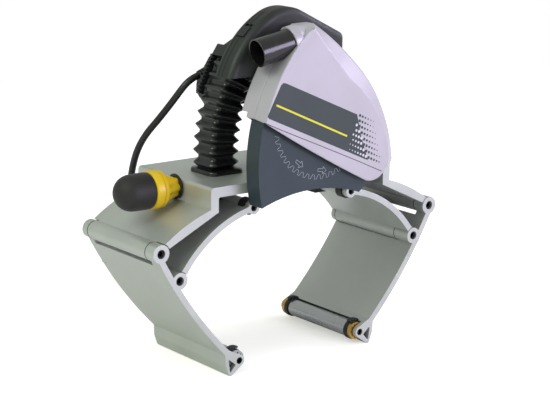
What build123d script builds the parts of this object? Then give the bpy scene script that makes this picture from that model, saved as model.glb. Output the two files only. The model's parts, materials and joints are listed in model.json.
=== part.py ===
from build123d import *
import os
from math import acos, atan2, cos, degrees, hypot, pi, radians, sin, sqrt

os.makedirs("parts", exist_ok=True)

# Portable pipe saw: a clamp of hinged jaws carries a hinged motor unit with a guarded circular blade.
# X runs across the pipe, Y along the pipe and away from the viewer, Z up. Lengths in millimetres.

# General clearances and walls
turn_gap = 0.08
part_gap = 0.3
hinge_gap = 0.5
overrun = 2.0
edge_radius = 1.0

# Frame extrusion
frame_length = 140.4
platform_half_width = 128.2
platform_top = 217.4
platform_thickness = 11.4
platform_edge_radius = 4.0
wall_thickness = 10.2
wall_drop = 23.9
wall_inner_drop = 27.9
wing_bulge = 3.0

# Hinges of the jaws and links, given for the right-hand side
outer_hinge_x = 193.0
outer_hinge_z = 154.4
outer_knuckle_radius = 10.3
inner_hinge_x = 168.9
inner_hinge_z = 120.8
inner_knuckle_radius = 9.4
hinge_pin_radius = 5.0
pin_recess = 2.5
socket_radius = 3.0
socket_depth = 4.0
outer_front_ear = 16.0
outer_rear_ear = 10.0
inner_front_ear = 24.0
inner_rear_ear = 6.5
ear_web_share = 0.67
ear_web_foot_share = 0.33
barrel_slot = 5.2
knuckle_gap = 1.0

# Jaws
jaw_thickness = 7.0
jaw_bulge = 5.6
jaw_top_x = 195.2
jaw_top_z = 151.0
jaw_foot_x = 104.6
jaw_foot_z = 27.0
lower_axle_x = 88.4
lower_axle_z = 15.8
lower_axle_radius = 4.0
toe_boss_radius = 6.5
toe_boss_length = 5.5
toe_tip_x = 100.6
toe_tip_radius = 2.6
toe_heel_x = 103.4
toe_heel_z = 14.0
toe_heel_radius = 4.0
toe_cavity_radius = 1.0

# Lower rollers
roller_tube_radius = 10.0
roller_tube_wall = 2.5
roller_ring_radius = 11.3
roller_ring_width = 5.5
roller_bush_radius = 10.5
roller_bush_width = 5.2
roller_end_gap = 1.0
roller_pocket_gap = 1.0
bush_hole_radius = 0.9
bush_hole_circle = 7.6
bush_hole_count = 10

# Links, upper rollers and their axles
upper_axle_x = 70.0
upper_axle_z = 188.0
upper_axle_radius = 4.0
link_thickness = 7.0
link_bulge = 12.6
link_boss_radius = 7.5
link_end_boss = 7.5
upper_roller_radius = 9.5
upper_roller_width = 9.5
upper_roller_hub_radius = 6.0

# Adjusting screw, its nut blocks and its knob
screw_y = 65.0
screw_z = 208.0
screw_radius = 6.0
screw_collar_radius = 7.6
screw_collar_width = 3.0
screw_collar_room = 4.0
bush_wall = 2.0
nut_block_length = 26.0
nut_block_width = 30.0
nut_block_drop = 30.0
nut_block_rise = 5.4
eye_travel_x = 5.6
eye_travel_z = 5.9
eye_gap = 0.6
knob_hub_length = 22.0
knob_hub_radius = 11.0
knob_hub_lobe_radius = 3.2
knob_hub_lobes = 6
knob_ring_length = 16.0
knob_ring_radius = 21.5
knob_ring_rib = 0.8
knob_ring_ribs = 24
knob_grip_length = 41.0
knob_grip_radius = 20.5
knob_grip_wall = 5.0

# Pivot of the motor unit and its bracket
pivot_x = 103.0
pivot_z = 238.0
pivot_pin_radius = 5.0
pivot_pin_head_radius = 8.0
pivot_pin_head_length = 2.5
pivot_arm_radius = 12.0
pivot_arm_width = 26.0
bracket_ear = 7.5
bracket_front_y = 5.8
bracket_base_length = 40.0
bracket_base_thickness = 5.0
bracket_bolt_radius = 3.0
bracket_bolt_head_radius = 5.0
bracket_bolt_head_height = 3.0

# Blade and spindle
blade_diameter = 140.0
blade_x = 2.0
blade_z = 282.4
blade_y = -14.8
blade_thickness = 1.6
blade_bore = 62.0
blade_teeth = 46
blade_tooth_height = 3.0
blade_tooth_shares = [0, 0.125, 0.375, 0.75]
inner_flange_radius = 36.0
inner_flange_width = 4.8
outer_flange_radius = 36.0
outer_flange_width = 3.2
bolt_head_radius = 9.0
bolt_head_height = 4.4
spindle_radius = 6.0
spindle_bore_radius = 4.0

# Guards: both swing about the pivot of the motor unit
guard_front_y = -36.0
guard_seam_y = -14.0
guard_rear_y = -1.0
guard_upper_rear_y = 9.0
guard_wall = 2.5
guard_arc_radius = 193.0
guard_duct_floor_z = 296.0
guard_boss_radius = 6.5
guard_mouth_depth = 8.0
lower_guard_front_y = -26.0
lower_guard_wall = 2.0
lower_guard_rear_y = -4.2
lower_guard_arc_radius = 187.6
lower_guard_pivot_radius = 8.4
lower_guard_boss_low_deg = 250.0
lower_guard_boss_high_deg = 95.0
lower_guard_arch_clear = 17.5
lower_guard_pin_radius = 4.0
lower_guard_hub_radius = 7.0
lower_guard_hub_front_y = -16.5
lower_guard_step_radius = 30.0
lower_guard_arm_front_y = -12.0
lower_guard_arm_rear_y = -8.0
guard_screw_radius = 3.5
guard_screw_length = 3.0

# Dust tube
dust_tube_radius = 15.5
dust_tube_wall = 1.5
dust_tube_length = 54.0
dust_mouth_x = -79.0
dust_mouth_z = 360.8
dust_tube_slope_deg = 12.5
dust_tube_turn_deg = -5.0
dust_cuff_length = 18.0
dust_seat_step = 0.3
dust_collar_start = 41.0
dust_collar_length = 9.0
dust_collar_wall = 2.0
dust_collar_end_length = 17.0
dust_collar_taper_deg = 22.0

# Gear housing and gear train
housing_front_y = -1.0
housing_rear_y = 46.0
housing_wall = 3.0
housing_top_z = 339.0
handle_seat_reach = 26.0
spindle_boss_radius = 22.0
gear_module = 1.0
pinion_teeth = 12
large_gear_teeth = 44
small_gear_teeth = 24
spindle_gear_teeth = 34
gear_width = 11.0
gear_room = 1.6
gear_backlash_share = 0.12
gear_tip_share = 0.9
gear_root_share = 1.15
gear_flank_foot_share = 1.7
gear_flank_tip_share = 0.5
bearing_radius = 11.0
bearing_width = 8.0
shaft_radius = 4.0

# Motor
motor_x = 12.0
motor_z = 325.0
motor_can_radius = 38.0
motor_can_wall = 2.5
motor_rear_y = 92.0
stator_length = 32.0
stator_front_gap = 8.0
stator_pole_share = 1.5
armature_radius = 21.0
armature_air_gap = 1.0
commutator_radius = 12.0
commutator_length = 13.0
fan_radius = 33.0
fan_width = 5.0
fan_blades = 9
brush_length = 14.0
brush_width = 7.0
cover_rear_y = 118.0
cover_wall = 2.5
cover_motor_radius = 40.0
cover_flank_x = -43.0
cover_flank_z = 306.0
cover_flank_radius = 22.0
cover_shoulder_x = -30.0
cover_shoulder_z = 324.0
cover_rib_pitch = 4.0
cover_rib_height = 1.6
cover_rib_count = 10
cover_rib_lean_share = 0.55

# Handle loop
handle_front_y = 11.0
handle_rear_y = 42.5
handle_wall = 3.0
handle_bar = 20.0
handle_edge_radius = 8.0
handle_hole_edge_radius = 4.0
handle_left_x = -96.0
handle_left_z = 331.0
handle_apex_x = -13.0
handle_apex_z = 407.0
handle_apex_radius = 50.0
handle_bulge = 14.8
handle_right_x = 65.5
handle_right_z = 368.0
handle_base_rise = 8.0
handle_inner_radius = 7.0
handle_foot_radius = 5.0
handle_corner_radius = 3.0
trigger_length = 26.0
trigger_width = 14.0
trigger_stand_out = 7.0
trigger_travel = 4.0
trigger_place_share = 0.64
lock_lever_length = 18.0
lock_lever_width = 12.0
lock_lever_rise = 1.2
lock_lever_travel = 2.0
lock_lever_place_share = 0.5
switch_length = 22.0
switch_depth = 9.0
switch_width = 16.0

# Bellows and return spring, bent about the pivot of the motor unit
bellows_radius = 177.0
bellows_y = 66.0
bellows_top_deg = 33.0
bellows_half_side = 20.8
bellows_valley_half_side = 15.6
bellows_flange_half_side = 23.4
bellows_corner_radius = 9.5
bellows_flange_height = 5.0
bellows_folds = 9
bellows_bore_half_side = 14.0
bellows_head_deg = 4.0
spring_outer_radius = 11.0
spring_wire = 3.0

# Cord
cord_radius = 4.0
cord_exit_y = 105.0
boot_root_x = -49.0
boot_root_z = 326.3
boot_length = 22.0
boot_root_radius = 7.0
boot_tip_radius = 5.4
boot_slope_deg = 16.0
boot_groove_count = 3
cord_straight_exit = 6.0
cord_bend_share = 0.45
coil_mid_radius = 29.0
coil_pitch = 8.75
coil_layer_rise = 8.75
coil_layer_quarters = 7
coil_climb_quarters = 2
coil_layers = 6
coil_top_steps = 6
coil_sample_count = 24
plug_body_length = 30.0
plug_taper_length = 24.0
plug_radius = 17.0
plug_pin_radius = 2.4
plug_pin_length = 19.0
plug_pin_spacing = 19.0

# Route of the cord after the straight stretch at its boot, down behind the clamp and along the floor
cord_route = [
    (-81.5, 105.7, 315.5),
    (-86.3, 107.2, 311.2),
    (-90.2, 109.4, 305.6),
    (-94.2, 113.0, 298.2),
    (-100.0, 119.5, 286.3),
    (-107.5, 130.5, 269.5),
    (-114.5, 145.0, 251.5),
    (-117.5, 158.5, 231.5),
    (-117.0, 170.0, 207.5),
    (-113.5, 180.0, 182.0),
    (-107.5, 189.0, 156.0),
    (-100.5, 197.0, 130.0),
    (-93.0, 204.5, 104.0),
    (-85.0, 212.5, 78.5),
    (-75.0, 223.0, 54.0),
    (-62.5, 237.0, 32.0),
    (-46.5, 255.0, 14.5),
    (-27.0, 275.0, 5.5),
    (-5.0, 294.5, 4.1),
    (26.0, 314.6, 4.1),
    (58.4, 334.9, 4.1),
]

# Shares of the blade's diameter, measured from the blade's centre, for the guards' outlines
guard_front_top_share = (-0.197, 0.716)
guard_front_shoulder_shares = [(-0.145, 0.735), (0.060, 0.500), (0.221, 0.319)]
guard_front_side_shares = [(0.435, 0.130), (0.650, -0.330)]
guard_front_cap_shares = [(0.585, -0.495), (0.414, -0.526)]
guard_seam_top_share = (-0.174, 0.748)
guard_seam_shoulder_shares = [(-0.030, 0.750), (0.197, 0.591), (0.405, 0.408)]
guard_seam_side_shares = [(0.670, 0.077), (0.829, -0.430)]
guard_seam_cap_shares = [(0.700, -0.545), (0.457, -0.545)]
guard_strip_bulge_share = 0.012
guard_mouth_end_share = (0.59, -0.55)
guard_screw_shares = [(-0.42, 0.04), (0.30, 0.10), (0.40, -0.34)]
guard_foot_front_share = 0.045
guard_foot_seam_share = 0.060
lower_guard_top_share = 0.085
lower_guard_tip_shares = [(0.405, -0.634), (0.500, -0.560)]
lower_guard_arch_radius_share = 1.464
lower_guard_arch_x_share = -0.086


def front_plane(y):
    """Gives the plane of constant y, seen from the front with X to the right and Z up."""
    return Plane((0, y, 0), x_dir=(1, 0, 0), z_dir=(0, -1, 0))


def slab(face, y_front, y_rear):
    """Extrudes a sketch drawn in X and Z from one y to another."""
    return extrude(front_plane(y_front) * face, amount=y_rear - y_front, dir=(0, 1, 0))


def disc(x, z, radius, y_front, y_rear, bore=0):
    """Makes a cylinder or a ring along Y."""
    ring = Circle(radius) - Circle(bore) if bore else Circle(radius)
    return slab(Pos(x, z) * ring, y_front, y_rear)


def rod_x(y, z, radius, x_from, x_to, bore=0):
    """Makes a cylinder or a tube along X."""
    ring = Circle(radius) - Circle(bore) if bore else Circle(radius)
    plane = Plane((x_from, y, z), x_dir=(0, 1, 0), z_dir=(1, 0, 0))
    return extrude(plane * ring, amount=x_to - x_from)


def hull_of(circles):
    """Makes the taut outline round a set of circles, each given as x, z and radius."""
    edges = ShapeList()
    for x, z, radius in circles:
        edges += (Pos(x, z) * Circle(radius)).edges()
    return make_hull(edges)


def polar(x, z, radius, angle_deg):
    """Gives the point at a radius and an angle from a centre."""
    angle = radians(angle_deg)
    return (x + radius * cos(angle), z + radius * sin(angle))


def bulged(a, b, bulge):
    """Makes an arc from a to b that stands out to the left of the way from a to b by the bulge."""
    length = hypot(b[0] - a[0], b[1] - a[1])
    side = (-(b[1] - a[1]) / length, (b[0] - a[0]) / length)
    middle = ((a[0] + b[0]) / 2 + side[0] * bulge, (a[1] + b[1]) / 2 + side[1] * bulge)
    return ThreePointArc(a, middle, b)


def bent_plate(a, b, bulge, thickness):
    """Makes the section of a plate of even thickness bent to an arc from a to b."""
    length = hypot(b[0] - a[0], b[1] - a[1])
    radius = (length * length / 4 + bulge * bulge) / (2 * bulge)
    side = (-(b[1] - a[1]) / length, (b[0] - a[0]) / length)
    centre = ((a[0] + b[0]) / 2 + side[0] * (bulge - radius), (a[1] + b[1]) / 2 + side[1] * (bulge - radius))
    start = degrees(atan2(a[1] - centre[1], a[0] - centre[0]))
    end = degrees(atan2(b[1] - centre[1], b[0] - centre[0]))
    end = start + (end - start + 180) % 360 - 180
    middle = (start + end) / 2
    outer, inner = abs(radius) + thickness / 2, abs(radius) - thickness / 2
    out_a, out_m, out_b = (polar(*centre, outer, angle) for angle in (start, middle, end))
    in_a, in_m, in_b = (polar(*centre, inner, angle) for angle in (start, middle, end))
    outline = ThreePointArc(out_a, out_m, out_b) + Line(out_b, in_b)
    outline += ThreePointArc(in_b, in_m, in_a) + Line(in_a, out_a)
    return make_face(outline)


def mirrored(shape):
    """Mirrors a right-hand piece to the left."""
    return mirror(shape, about=Plane.YZ)


def both_sides(shape):
    """Joins a right-hand piece and its mirror image in one node."""
    return group(shape, mirrored(shape))


def group(*solids):
    """Keeps separate solids together in one node."""
    return Compound(list(solids))


def rounded_corners(face, corners, radius):
    """Rounds the corners of a sketch that lie at the given points."""
    chosen = ShapeList()
    for x, z in corners:
        chosen += face.vertices().sort_by_distance((x, z, 0))[:1]
    return fillet(chosen, radius)


# Frame


platform_underside = platform_top - platform_thickness
wall_foot_z = platform_top - wall_drop
wall_inner_x = platform_half_width - wall_thickness
wall_inner_foot_z = platform_top - wall_inner_drop
outer_ear_room = outer_knuckle_radius + knuckle_gap
inner_ear_room = inner_knuckle_radius + knuckle_gap
frame_barrel_front = outer_front_ear + hinge_gap
frame_barrel_rear = frame_length - outer_rear_ear - hinge_gap
link_barrel_front = inner_front_ear + hinge_gap
link_barrel_rear = frame_length - inner_rear_ear - hinge_gap
nut_channel_half = nut_block_width / 2 + hinge_gap
nut_channel_top = screw_z + screw_radius + hinge_gap
wing_barrel_deg = 115
wing_inner_deg = 156


def wing_section():
    """Makes the section of one wing, from the foot of the wall to the hinge barrel."""
    foot = (platform_half_width, wall_foot_z)
    barrel_top = polar(outer_hinge_x, outer_hinge_z, outer_knuckle_radius, wing_barrel_deg)
    barrel_side = polar(outer_hinge_x, outer_hinge_z, outer_knuckle_radius - edge_radius, wing_inner_deg)
    inner_foot = (wall_inner_x, wall_inner_foot_z)
    outline = bulged(foot, barrel_top, wing_bulge) + Line(barrel_top, (outer_hinge_x, outer_hinge_z))
    outline += Line((outer_hinge_x, outer_hinge_z), barrel_side) + Line(barrel_side, inner_foot)
    outline += Line(inner_foot, foot)
    return make_face(outline) + Pos(outer_hinge_x, outer_hinge_z) * Circle(outer_knuckle_radius)


def platform_section():
    """Makes the section of the platform with its two walls."""
    top_corner = (platform_half_width, platform_top)
    inner_corner = (wall_inner_x, platform_underside)
    right = [(0, platform_top), top_corner, (platform_half_width, wall_foot_z)]
    right += [(wall_inner_x, wall_inner_foot_z), inner_corner, (0, platform_underside)]
    half = make_face(Polyline(*right, close=True))
    half = rounded_corners(half, [top_corner], platform_edge_radius)
    half = rounded_corners(half, [inner_corner], platform_edge_radius / 2)
    return half + mirror(half, about=Plane.YZ)


def make_frame_profile():
    """Makes the aluminium frame extrusion with its notches, screw channel and holes."""
    wing = wing_section()
    section = platform_section() + wing + mirror(wing, about=Plane.YZ)
    frame = slab(section, 0, frame_length)
    for side in (1, -1):
        x = side * outer_hinge_x
        frame -= disc(x, outer_hinge_z, outer_ear_room, -overrun, frame_barrel_front)
        frame -= disc(x, outer_hinge_z, outer_ear_room, frame_barrel_rear, frame_length + overrun)
        frame -= disc(x, outer_hinge_z, hinge_pin_radius, 0, frame_length)
    channel_size = (2 * wall_inner_x, 2 * nut_channel_half, nut_channel_top - platform_underside + overrun)
    channel = Box(*channel_size, align=(Align.CENTER, Align.CENTER, Align.MAX))
    frame -= Pos(0, screw_y, nut_channel_top) * channel
    bush_radius = screw_radius + bush_wall
    frame -= rod_x(screw_y, screw_z, bush_radius, wall_inner_x - overrun, platform_half_width + overrun)
    frame -= rod_x(screw_y, screw_z, bush_radius, -platform_half_width - overrun, -wall_inner_x + overrun)
    room_radius = screw_collar_radius + part_gap
    room_x = wall_inner_x - screw_collar_room
    frame -= rod_x(screw_y, screw_z, room_radius, room_x, wall_inner_x)
    frame -= rod_x(screw_y, screw_z, room_radius, -wall_inner_x, -room_x)
    for x, y in bracket_bolt_places():
        hole = Cylinder(bracket_bolt_radius, platform_thickness + 2 * overrun)
        frame -= Pos(x, y, platform_top - platform_thickness / 2) * hole
    return frame


def bracket_bolt_places():
    """Lists where the bracket's bolts pass the platform."""
    reach = bracket_base_length / 2 - 2 * bracket_bolt_radius
    rear_y = bracket_front_y + 2 * bracket_ear + pivot_arm_width
    middle_y = (bracket_front_y + rear_y) / 2
    return [(pivot_x - reach, middle_y), (pivot_x + reach, middle_y)]


def make_screw_bushes():
    """Makes the two flanged bushes that carry the adjusting screw in the walls."""
    outer = screw_radius + bush_wall
    bore = screw_radius + turn_gap
    bush = rod_x(screw_y, screw_z, outer, wall_inner_x, platform_half_width, bore)
    return both_sides(bush)


def socket_pin(x, z, radius, y_front, y_rear):
    """Makes a hinge pin with a round socket in its front end."""
    pin = disc(x, z, radius, y_front, y_rear)
    return pin - disc(x, z, socket_radius, y_front - overrun, y_front + socket_depth)


def make_outer_hinge_pins():
    """Makes the two pins on which the jaws hang, pressed in the frame's barrels."""
    pin = socket_pin(outer_hinge_x, outer_hinge_z, hinge_pin_radius, pin_recess, frame_length - pin_recess)
    return both_sides(pin)


def make_pivot_bracket():
    """Makes the bracket on the platform that carries the pivot of the motor unit."""
    ear_rear = bracket_front_y + bracket_ear
    second_front = ear_rear + pivot_arm_width + 2 * hinge_gap
    second_rear = second_front + bracket_ear
    foot_x = bracket_base_length / 2 - pivot_arm_radius / 2
    foot_z = platform_top + pivot_arm_radius / 2
    corner = pivot_arm_radius / 2
    ear = hull_of([
        (pivot_x, pivot_z, pivot_arm_radius),
        (pivot_x - foot_x, foot_z, corner),
        (pivot_x + foot_x, foot_z, corner),
    ])
    base_size = (bracket_base_length, second_rear - bracket_front_y, bracket_base_thickness)
    base = Pos(pivot_x, (bracket_front_y + second_rear) / 2, platform_top) * Box(
        *base_size, align=(Align.CENTER, Align.CENTER, Align.MIN))
    bracket = base + slab(ear, bracket_front_y, ear_rear) + slab(ear, second_front, second_rear)
    bracket -= disc(pivot_x, pivot_z, pivot_pin_radius, 0, second_rear + overrun)
    for x, y in bracket_bolt_places():
        bracket -= Pos(x, y, platform_top) * Cylinder(bracket_bolt_radius, 3 * bracket_base_thickness)
    arm_room = pivot_arm_radius + knuckle_gap
    return bracket - disc(pivot_x, pivot_z, arm_room, ear_rear, second_front)


def make_bracket_bolts():
    """Makes the two bolts that hold the bracket on the platform."""
    bolts = []
    head_z = platform_top + bracket_base_thickness
    for x, y in bracket_bolt_places():
        shank = Pos(x, y, platform_underside) * Cylinder(
            bracket_bolt_radius, head_z - platform_underside, align=(Align.CENTER, Align.CENTER, Align.MIN))
        head = Pos(x, y, head_z) * Cylinder(
            bracket_bolt_head_radius, bracket_bolt_head_height, align=(Align.CENTER, Align.CENTER, Align.MIN))
        bolts.append(shank + head)
    return group(*bolts)


def make_pivot_pin():
    """Makes the headed pin through the bracket and the arm of the motor unit."""
    rear = bracket_front_y + 2 * bracket_ear + pivot_arm_width + 2 * hinge_gap
    pin = disc(pivot_x, pivot_z, pivot_pin_radius, bracket_front_y, rear)
    head_front = bracket_front_y - pivot_pin_head_length
    pin += disc(pivot_x, pivot_z, pivot_pin_head_radius, head_front, bracket_front_y)
    pin += disc(pivot_x, pivot_z, pivot_pin_head_radius, rear, rear + pivot_pin_head_length)
    return pin


# Adjusting screw, nut blocks and knob


def make_adjusting_screw():
    """Makes the screw that spans the frame, with a collar inside each wall."""
    left = -platform_half_width - knob_hub_length + overrun
    screw = rod_x(screw_y, screw_z, screw_radius, left, platform_half_width)
    for side in (1, -1):
        near = side * (wall_inner_x - part_gap)
        far = side * (wall_inner_x - part_gap - screw_collar_width)
        screw += rod_x(screw_y, screw_z, screw_collar_radius, min(near, far), max(near, far))
    return screw


def make_nut_block():
    """Makes the right-hand nut block: a threaded bore above a long eye for the upper axle."""
    top = screw_z + nut_block_rise
    bottom = screw_z - nut_block_drop
    size = (nut_block_length, nut_block_width, top - bottom)
    block = Pos(upper_axle_x, screw_y, bottom) * Box(*size, align=(Align.CENTER, Align.CENTER, Align.MIN))
    block = chamfer(block.edges().filter_by(Axis.Y), edge_radius)
    half = nut_block_length / 2 + overrun
    block -= rod_x(screw_y, screw_z, screw_radius + turn_gap, upper_axle_x - half, upper_axle_x + half)
    room = upper_axle_radius + eye_gap
    eye = hull_of([
        (upper_axle_x, upper_axle_z, room),
        (upper_axle_x + eye_travel_x, upper_axle_z + eye_travel_z, room),
    ])
    return block - slab(eye, 0, frame_length)


knob_root_x = -platform_half_width - hinge_gap
knob_ring_x = knob_root_x - knob_hub_length
knob_grip_x = knob_ring_x - knob_ring_length
knob_tip_x = knob_grip_x - knob_grip_length


def make_knob_hub():
    """Makes the lobed hub between the wall and the knob."""
    hub = rod_x(screw_y, screw_z, knob_hub_radius, knob_ring_x, knob_root_x)
    for lobe in range(knob_hub_lobes):
        y, z = polar(screw_y, screw_z, knob_hub_radius, 360 * lobe / knob_hub_lobes)
        hub += rod_x(y, z, knob_hub_lobe_radius, knob_ring_x, knob_root_x - knob_hub_length / 3)
    core = knob_grip_radius - knob_grip_wall
    hub += rod_x(screw_y, screw_z, core, knob_tip_x + knob_grip_radius, knob_ring_x)
    inner_x = -platform_half_width - knob_hub_length + overrun
    return hub - rod_x(screw_y, screw_z, screw_radius, inner_x, knob_root_x)


def make_knob_ring():
    """Makes the ribbed ring behind the grip."""
    ring = rod_x(screw_y, screw_z, knob_ring_radius - knob_ring_rib, knob_grip_x, knob_ring_x)
    for rib in range(knob_ring_ribs):
        y, z = polar(screw_y, screw_z, knob_ring_radius - 2 * knob_ring_rib, 360 * rib / knob_ring_ribs)
        ring += rod_x(y, z, 2 * knob_ring_rib, knob_grip_x, knob_ring_x)
    return ring - rod_x(screw_y, screw_z, knob_grip_radius - knob_grip_wall, knob_grip_x, knob_ring_x)


def make_knob_grip():
    """Makes the domed rubber grip as a turned solid with a hollow core."""
    straight = knob_grip_length - knob_grip_radius
    bow = knob_grip_radius * sin(radians(45))
    outline = Line((0, 0), (0, knob_grip_radius)) + Line((0, knob_grip_radius), (straight, knob_grip_radius))
    outline += ThreePointArc((straight, knob_grip_radius), (straight + bow, bow), (knob_grip_length, 0))
    outline += Line((knob_grip_length, 0), (0, 0))
    plane = Plane((knob_grip_x, screw_y, screw_z), x_dir=(-1, 0, 0), z_dir=(0, -1, 0))
    grip = revolve(plane * make_face(outline), axis=Axis((knob_grip_x, screw_y, screw_z), (1, 0, 0)))
    core = knob_grip_radius - knob_grip_wall
    return grip - rod_x(screw_y, screw_z, core, knob_grip_x - straight, knob_grip_x)


# Jaws, lower axles and rollers


roller_pocket = roller_ring_radius + roller_pocket_gap
toe_rear = frame_length - toe_boss_length


def jaw_section():
    """Makes the section of the right jaw without its knuckles: the plate and the hollow toe."""
    top = (jaw_top_x, jaw_top_z)
    foot = (jaw_foot_x, jaw_foot_z)
    plate = bent_plate(foot, top, -jaw_bulge, jaw_thickness)
    toe = hull_of([
        (lower_axle_x, lower_axle_z, toe_boss_radius),
        (toe_tip_x, toe_tip_radius, toe_tip_radius),
        (toe_heel_x, toe_heel_z, toe_heel_radius),
        (jaw_foot_x, jaw_foot_z, jaw_thickness / 2),
    ])
    cavity = hull_of([
        (toe_heel_x - toe_cavity_radius, toe_heel_z + toe_heel_radius, toe_cavity_radius),
        (toe_tip_x, 2 * toe_tip_radius + toe_cavity_radius / 2, toe_cavity_radius),
        (lower_axle_x + toe_boss_radius, lower_axle_z - toe_heel_radius, toe_cavity_radius),
    ])
    return plate + toe - cavity


def knuckle_section(x, z, radius, plate_x, plate_z):
    """Makes the section of an ear with the web that joins it to the jaw's plate."""
    web = hull_of([
        (x, z, radius * ear_web_share),
        (plate_x, plate_z, jaw_thickness * ear_web_foot_share),
    ])
    return web + Pos(x, z) * Circle(radius)


def make_jaw():
    """Makes the right jaw."""
    section = jaw_section()
    plate_z = inner_hinge_z - jaw_thickness
    plate_x = inner_hinge_x + jaw_thickness
    outer_ear = knuckle_section(outer_hinge_x, outer_hinge_z, outer_knuckle_radius, jaw_top_x, jaw_top_z)
    inner_ear = knuckle_section(inner_hinge_x, inner_hinge_z, inner_knuckle_radius, plate_x, plate_z)
    jaw = slab(section, 0, frame_length)
    slot_room = outer_knuckle_radius + barrel_slot
    jaw -= disc(outer_hinge_x, outer_hinge_z, slot_room, outer_front_ear, frame_length - outer_rear_ear)
    jaw -= disc(inner_hinge_x, inner_hinge_z, inner_ear_room, inner_front_ear, frame_length - inner_rear_ear)
    jaw += slab(outer_ear, 0, outer_front_ear)
    jaw += slab(outer_ear, frame_length - outer_rear_ear, frame_length)
    jaw += slab(inner_ear, 0, inner_front_ear)
    jaw += slab(inner_ear, frame_length - inner_rear_ear, frame_length)
    jaw -= disc(outer_hinge_x, outer_hinge_z, hinge_pin_radius + turn_gap, 0, frame_length)
    jaw -= disc(inner_hinge_x, inner_hinge_z, hinge_pin_radius, 0, frame_length)
    jaw -= disc(lower_axle_x, lower_axle_z, roller_pocket, toe_boss_length, toe_rear)
    jaw -= disc(lower_axle_x, lower_axle_z, lower_axle_radius, 0, frame_length)
    return jaw


def make_inner_hinge_pin():
    """Makes the right pin between jaw and link, pressed in the jaw's ears."""
    return socket_pin(inner_hinge_x, inner_hinge_z, hinge_pin_radius, pin_recess, frame_length - pin_recess)


def make_lower_axle():
    """Makes the right lower axle, pressed in the bosses of the toe."""
    return socket_pin(lower_axle_x, lower_axle_z, lower_axle_radius, edge_radius, frame_length - edge_radius)


roller_bush_front = toe_boss_length + roller_end_gap
roller_ring_front = roller_bush_front + roller_bush_width
roller_tube_front = roller_ring_front + roller_ring_width


def mirrored_along(solid):
    """Copies a piece to the other end of the frame's length and keeps both."""
    return group(solid, mirror(solid, about=Plane((0, frame_length / 2, 0), z_dir=(0, 1, 0))))


def make_roller_tube():
    """Makes the steel tube of the right lower roller."""
    bore = roller_tube_radius - roller_tube_wall
    rear = frame_length - roller_tube_front
    return disc(lower_axle_x, lower_axle_z, roller_tube_radius, roller_tube_front, rear, bore)


def make_roller_rings():
    """Makes the rubber rings at the ends of the right lower roller."""
    bore = roller_tube_radius - roller_tube_wall
    front = (lower_axle_x, lower_axle_z, roller_ring_radius, roller_ring_front, roller_tube_front)
    return mirrored_along(disc(*front, bore))


def make_roller_bushes():
    """Makes the flanged brass bushes with their rings of small holes."""
    bore = lower_axle_radius + turn_gap
    sleeve = roller_tube_radius - roller_tube_wall
    sleeve_rear = roller_tube_front + roller_ring_width
    bush = disc(lower_axle_x, lower_axle_z, roller_bush_radius, roller_bush_front, roller_ring_front)
    bush += disc(lower_axle_x, lower_axle_z, sleeve, roller_ring_front, sleeve_rear)
    bush -= disc(lower_axle_x, lower_axle_z, bore, 0, frame_length)
    for hole in range(bush_hole_count):
        x, z = polar(lower_axle_x, lower_axle_z, bush_hole_circle, 360 * hole / bush_hole_count)
        bush -= disc(x, z, bush_hole_radius, 0, roller_bush_front + 2 * bush_hole_radius)
    return mirrored_along(bush)


# Links, upper axles and upper rollers


upper_roller_front = link_end_boss + hinge_gap
upper_roller_rear = upper_roller_front + upper_roller_width
upper_roller_room = upper_roller_radius + knuckle_gap
link_fork_room = nut_block_length * 3 / 4 + knuckle_gap


def make_link():
    """Makes the right link: a bent plate from the inner hinge to the upper axle."""
    pivot = (inner_hinge_x, inner_hinge_z)
    end = (upper_axle_x, upper_axle_z)
    plate = slab(bent_plate(end, pivot, link_bulge, link_thickness), 0, frame_length)
    plate -= disc(*pivot, inner_ear_room, 0, link_barrel_front)
    plate -= disc(*pivot, inner_ear_room, link_barrel_rear, frame_length)
    link = plate + disc(*pivot, inner_knuckle_radius, link_barrel_front, link_barrel_rear)
    link += disc(*end, link_boss_radius, 0, frame_length)
    link -= disc(*end, upper_roller_room, link_end_boss, upper_roller_rear + hinge_gap)
    link -= disc(*end, upper_roller_room, frame_length - upper_roller_rear - hinge_gap,
                 frame_length - link_end_boss)
    fork_half = nut_block_width / 2 + hinge_gap
    link -= disc(*end, link_fork_room, screw_y - fork_half, screw_y + fork_half)
    link -= disc(*end, upper_axle_radius + turn_gap, 0, frame_length)
    return link - disc(*pivot, hinge_pin_radius + turn_gap, 0, frame_length)


def make_upper_axle():
    """Makes the right upper axle with a hub for each roller."""
    axle = socket_pin(upper_axle_x, upper_axle_z, upper_axle_radius, pin_recess, frame_length - pin_recess)
    for front in (upper_roller_front, frame_length - upper_roller_rear):
        axle += disc(upper_axle_x, upper_axle_z, upper_roller_hub_radius, front, front + upper_roller_width)
    return axle


def make_upper_rollers():
    """Makes the two rubber rollers on the right upper axle."""
    place = (upper_axle_x, upper_axle_z, upper_roller_radius)
    return mirrored_along(disc(*place, upper_roller_front, upper_roller_rear, upper_roller_hub_radius))


# Blade, flanges and spindle


blade_radius = blade_diameter / 2
blade_rear_y = blade_y + blade_thickness
outer_flange_front = blade_y - outer_flange_width
inner_flange_rear = blade_rear_y + inner_flange_width
spindle_collar_rear = housing_front_y - hinge_gap


def make_blade():
    """Makes the toothed blade with its large bore."""
    step = 360 / blade_teeth
    root = blade_radius - blade_tooth_height
    points = []
    for tooth in range(blade_teeth):
        for share, radius in zip(blade_tooth_shares, (root, blade_radius, blade_radius, root)):
            points.append(polar(blade_x, blade_z, radius, (tooth + share) * step))
    face = make_face(Polyline(*points, close=True)) - Pos(blade_x, blade_z) * Circle(blade_bore / 2)
    return slab(face, blade_y, blade_rear_y)


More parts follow.
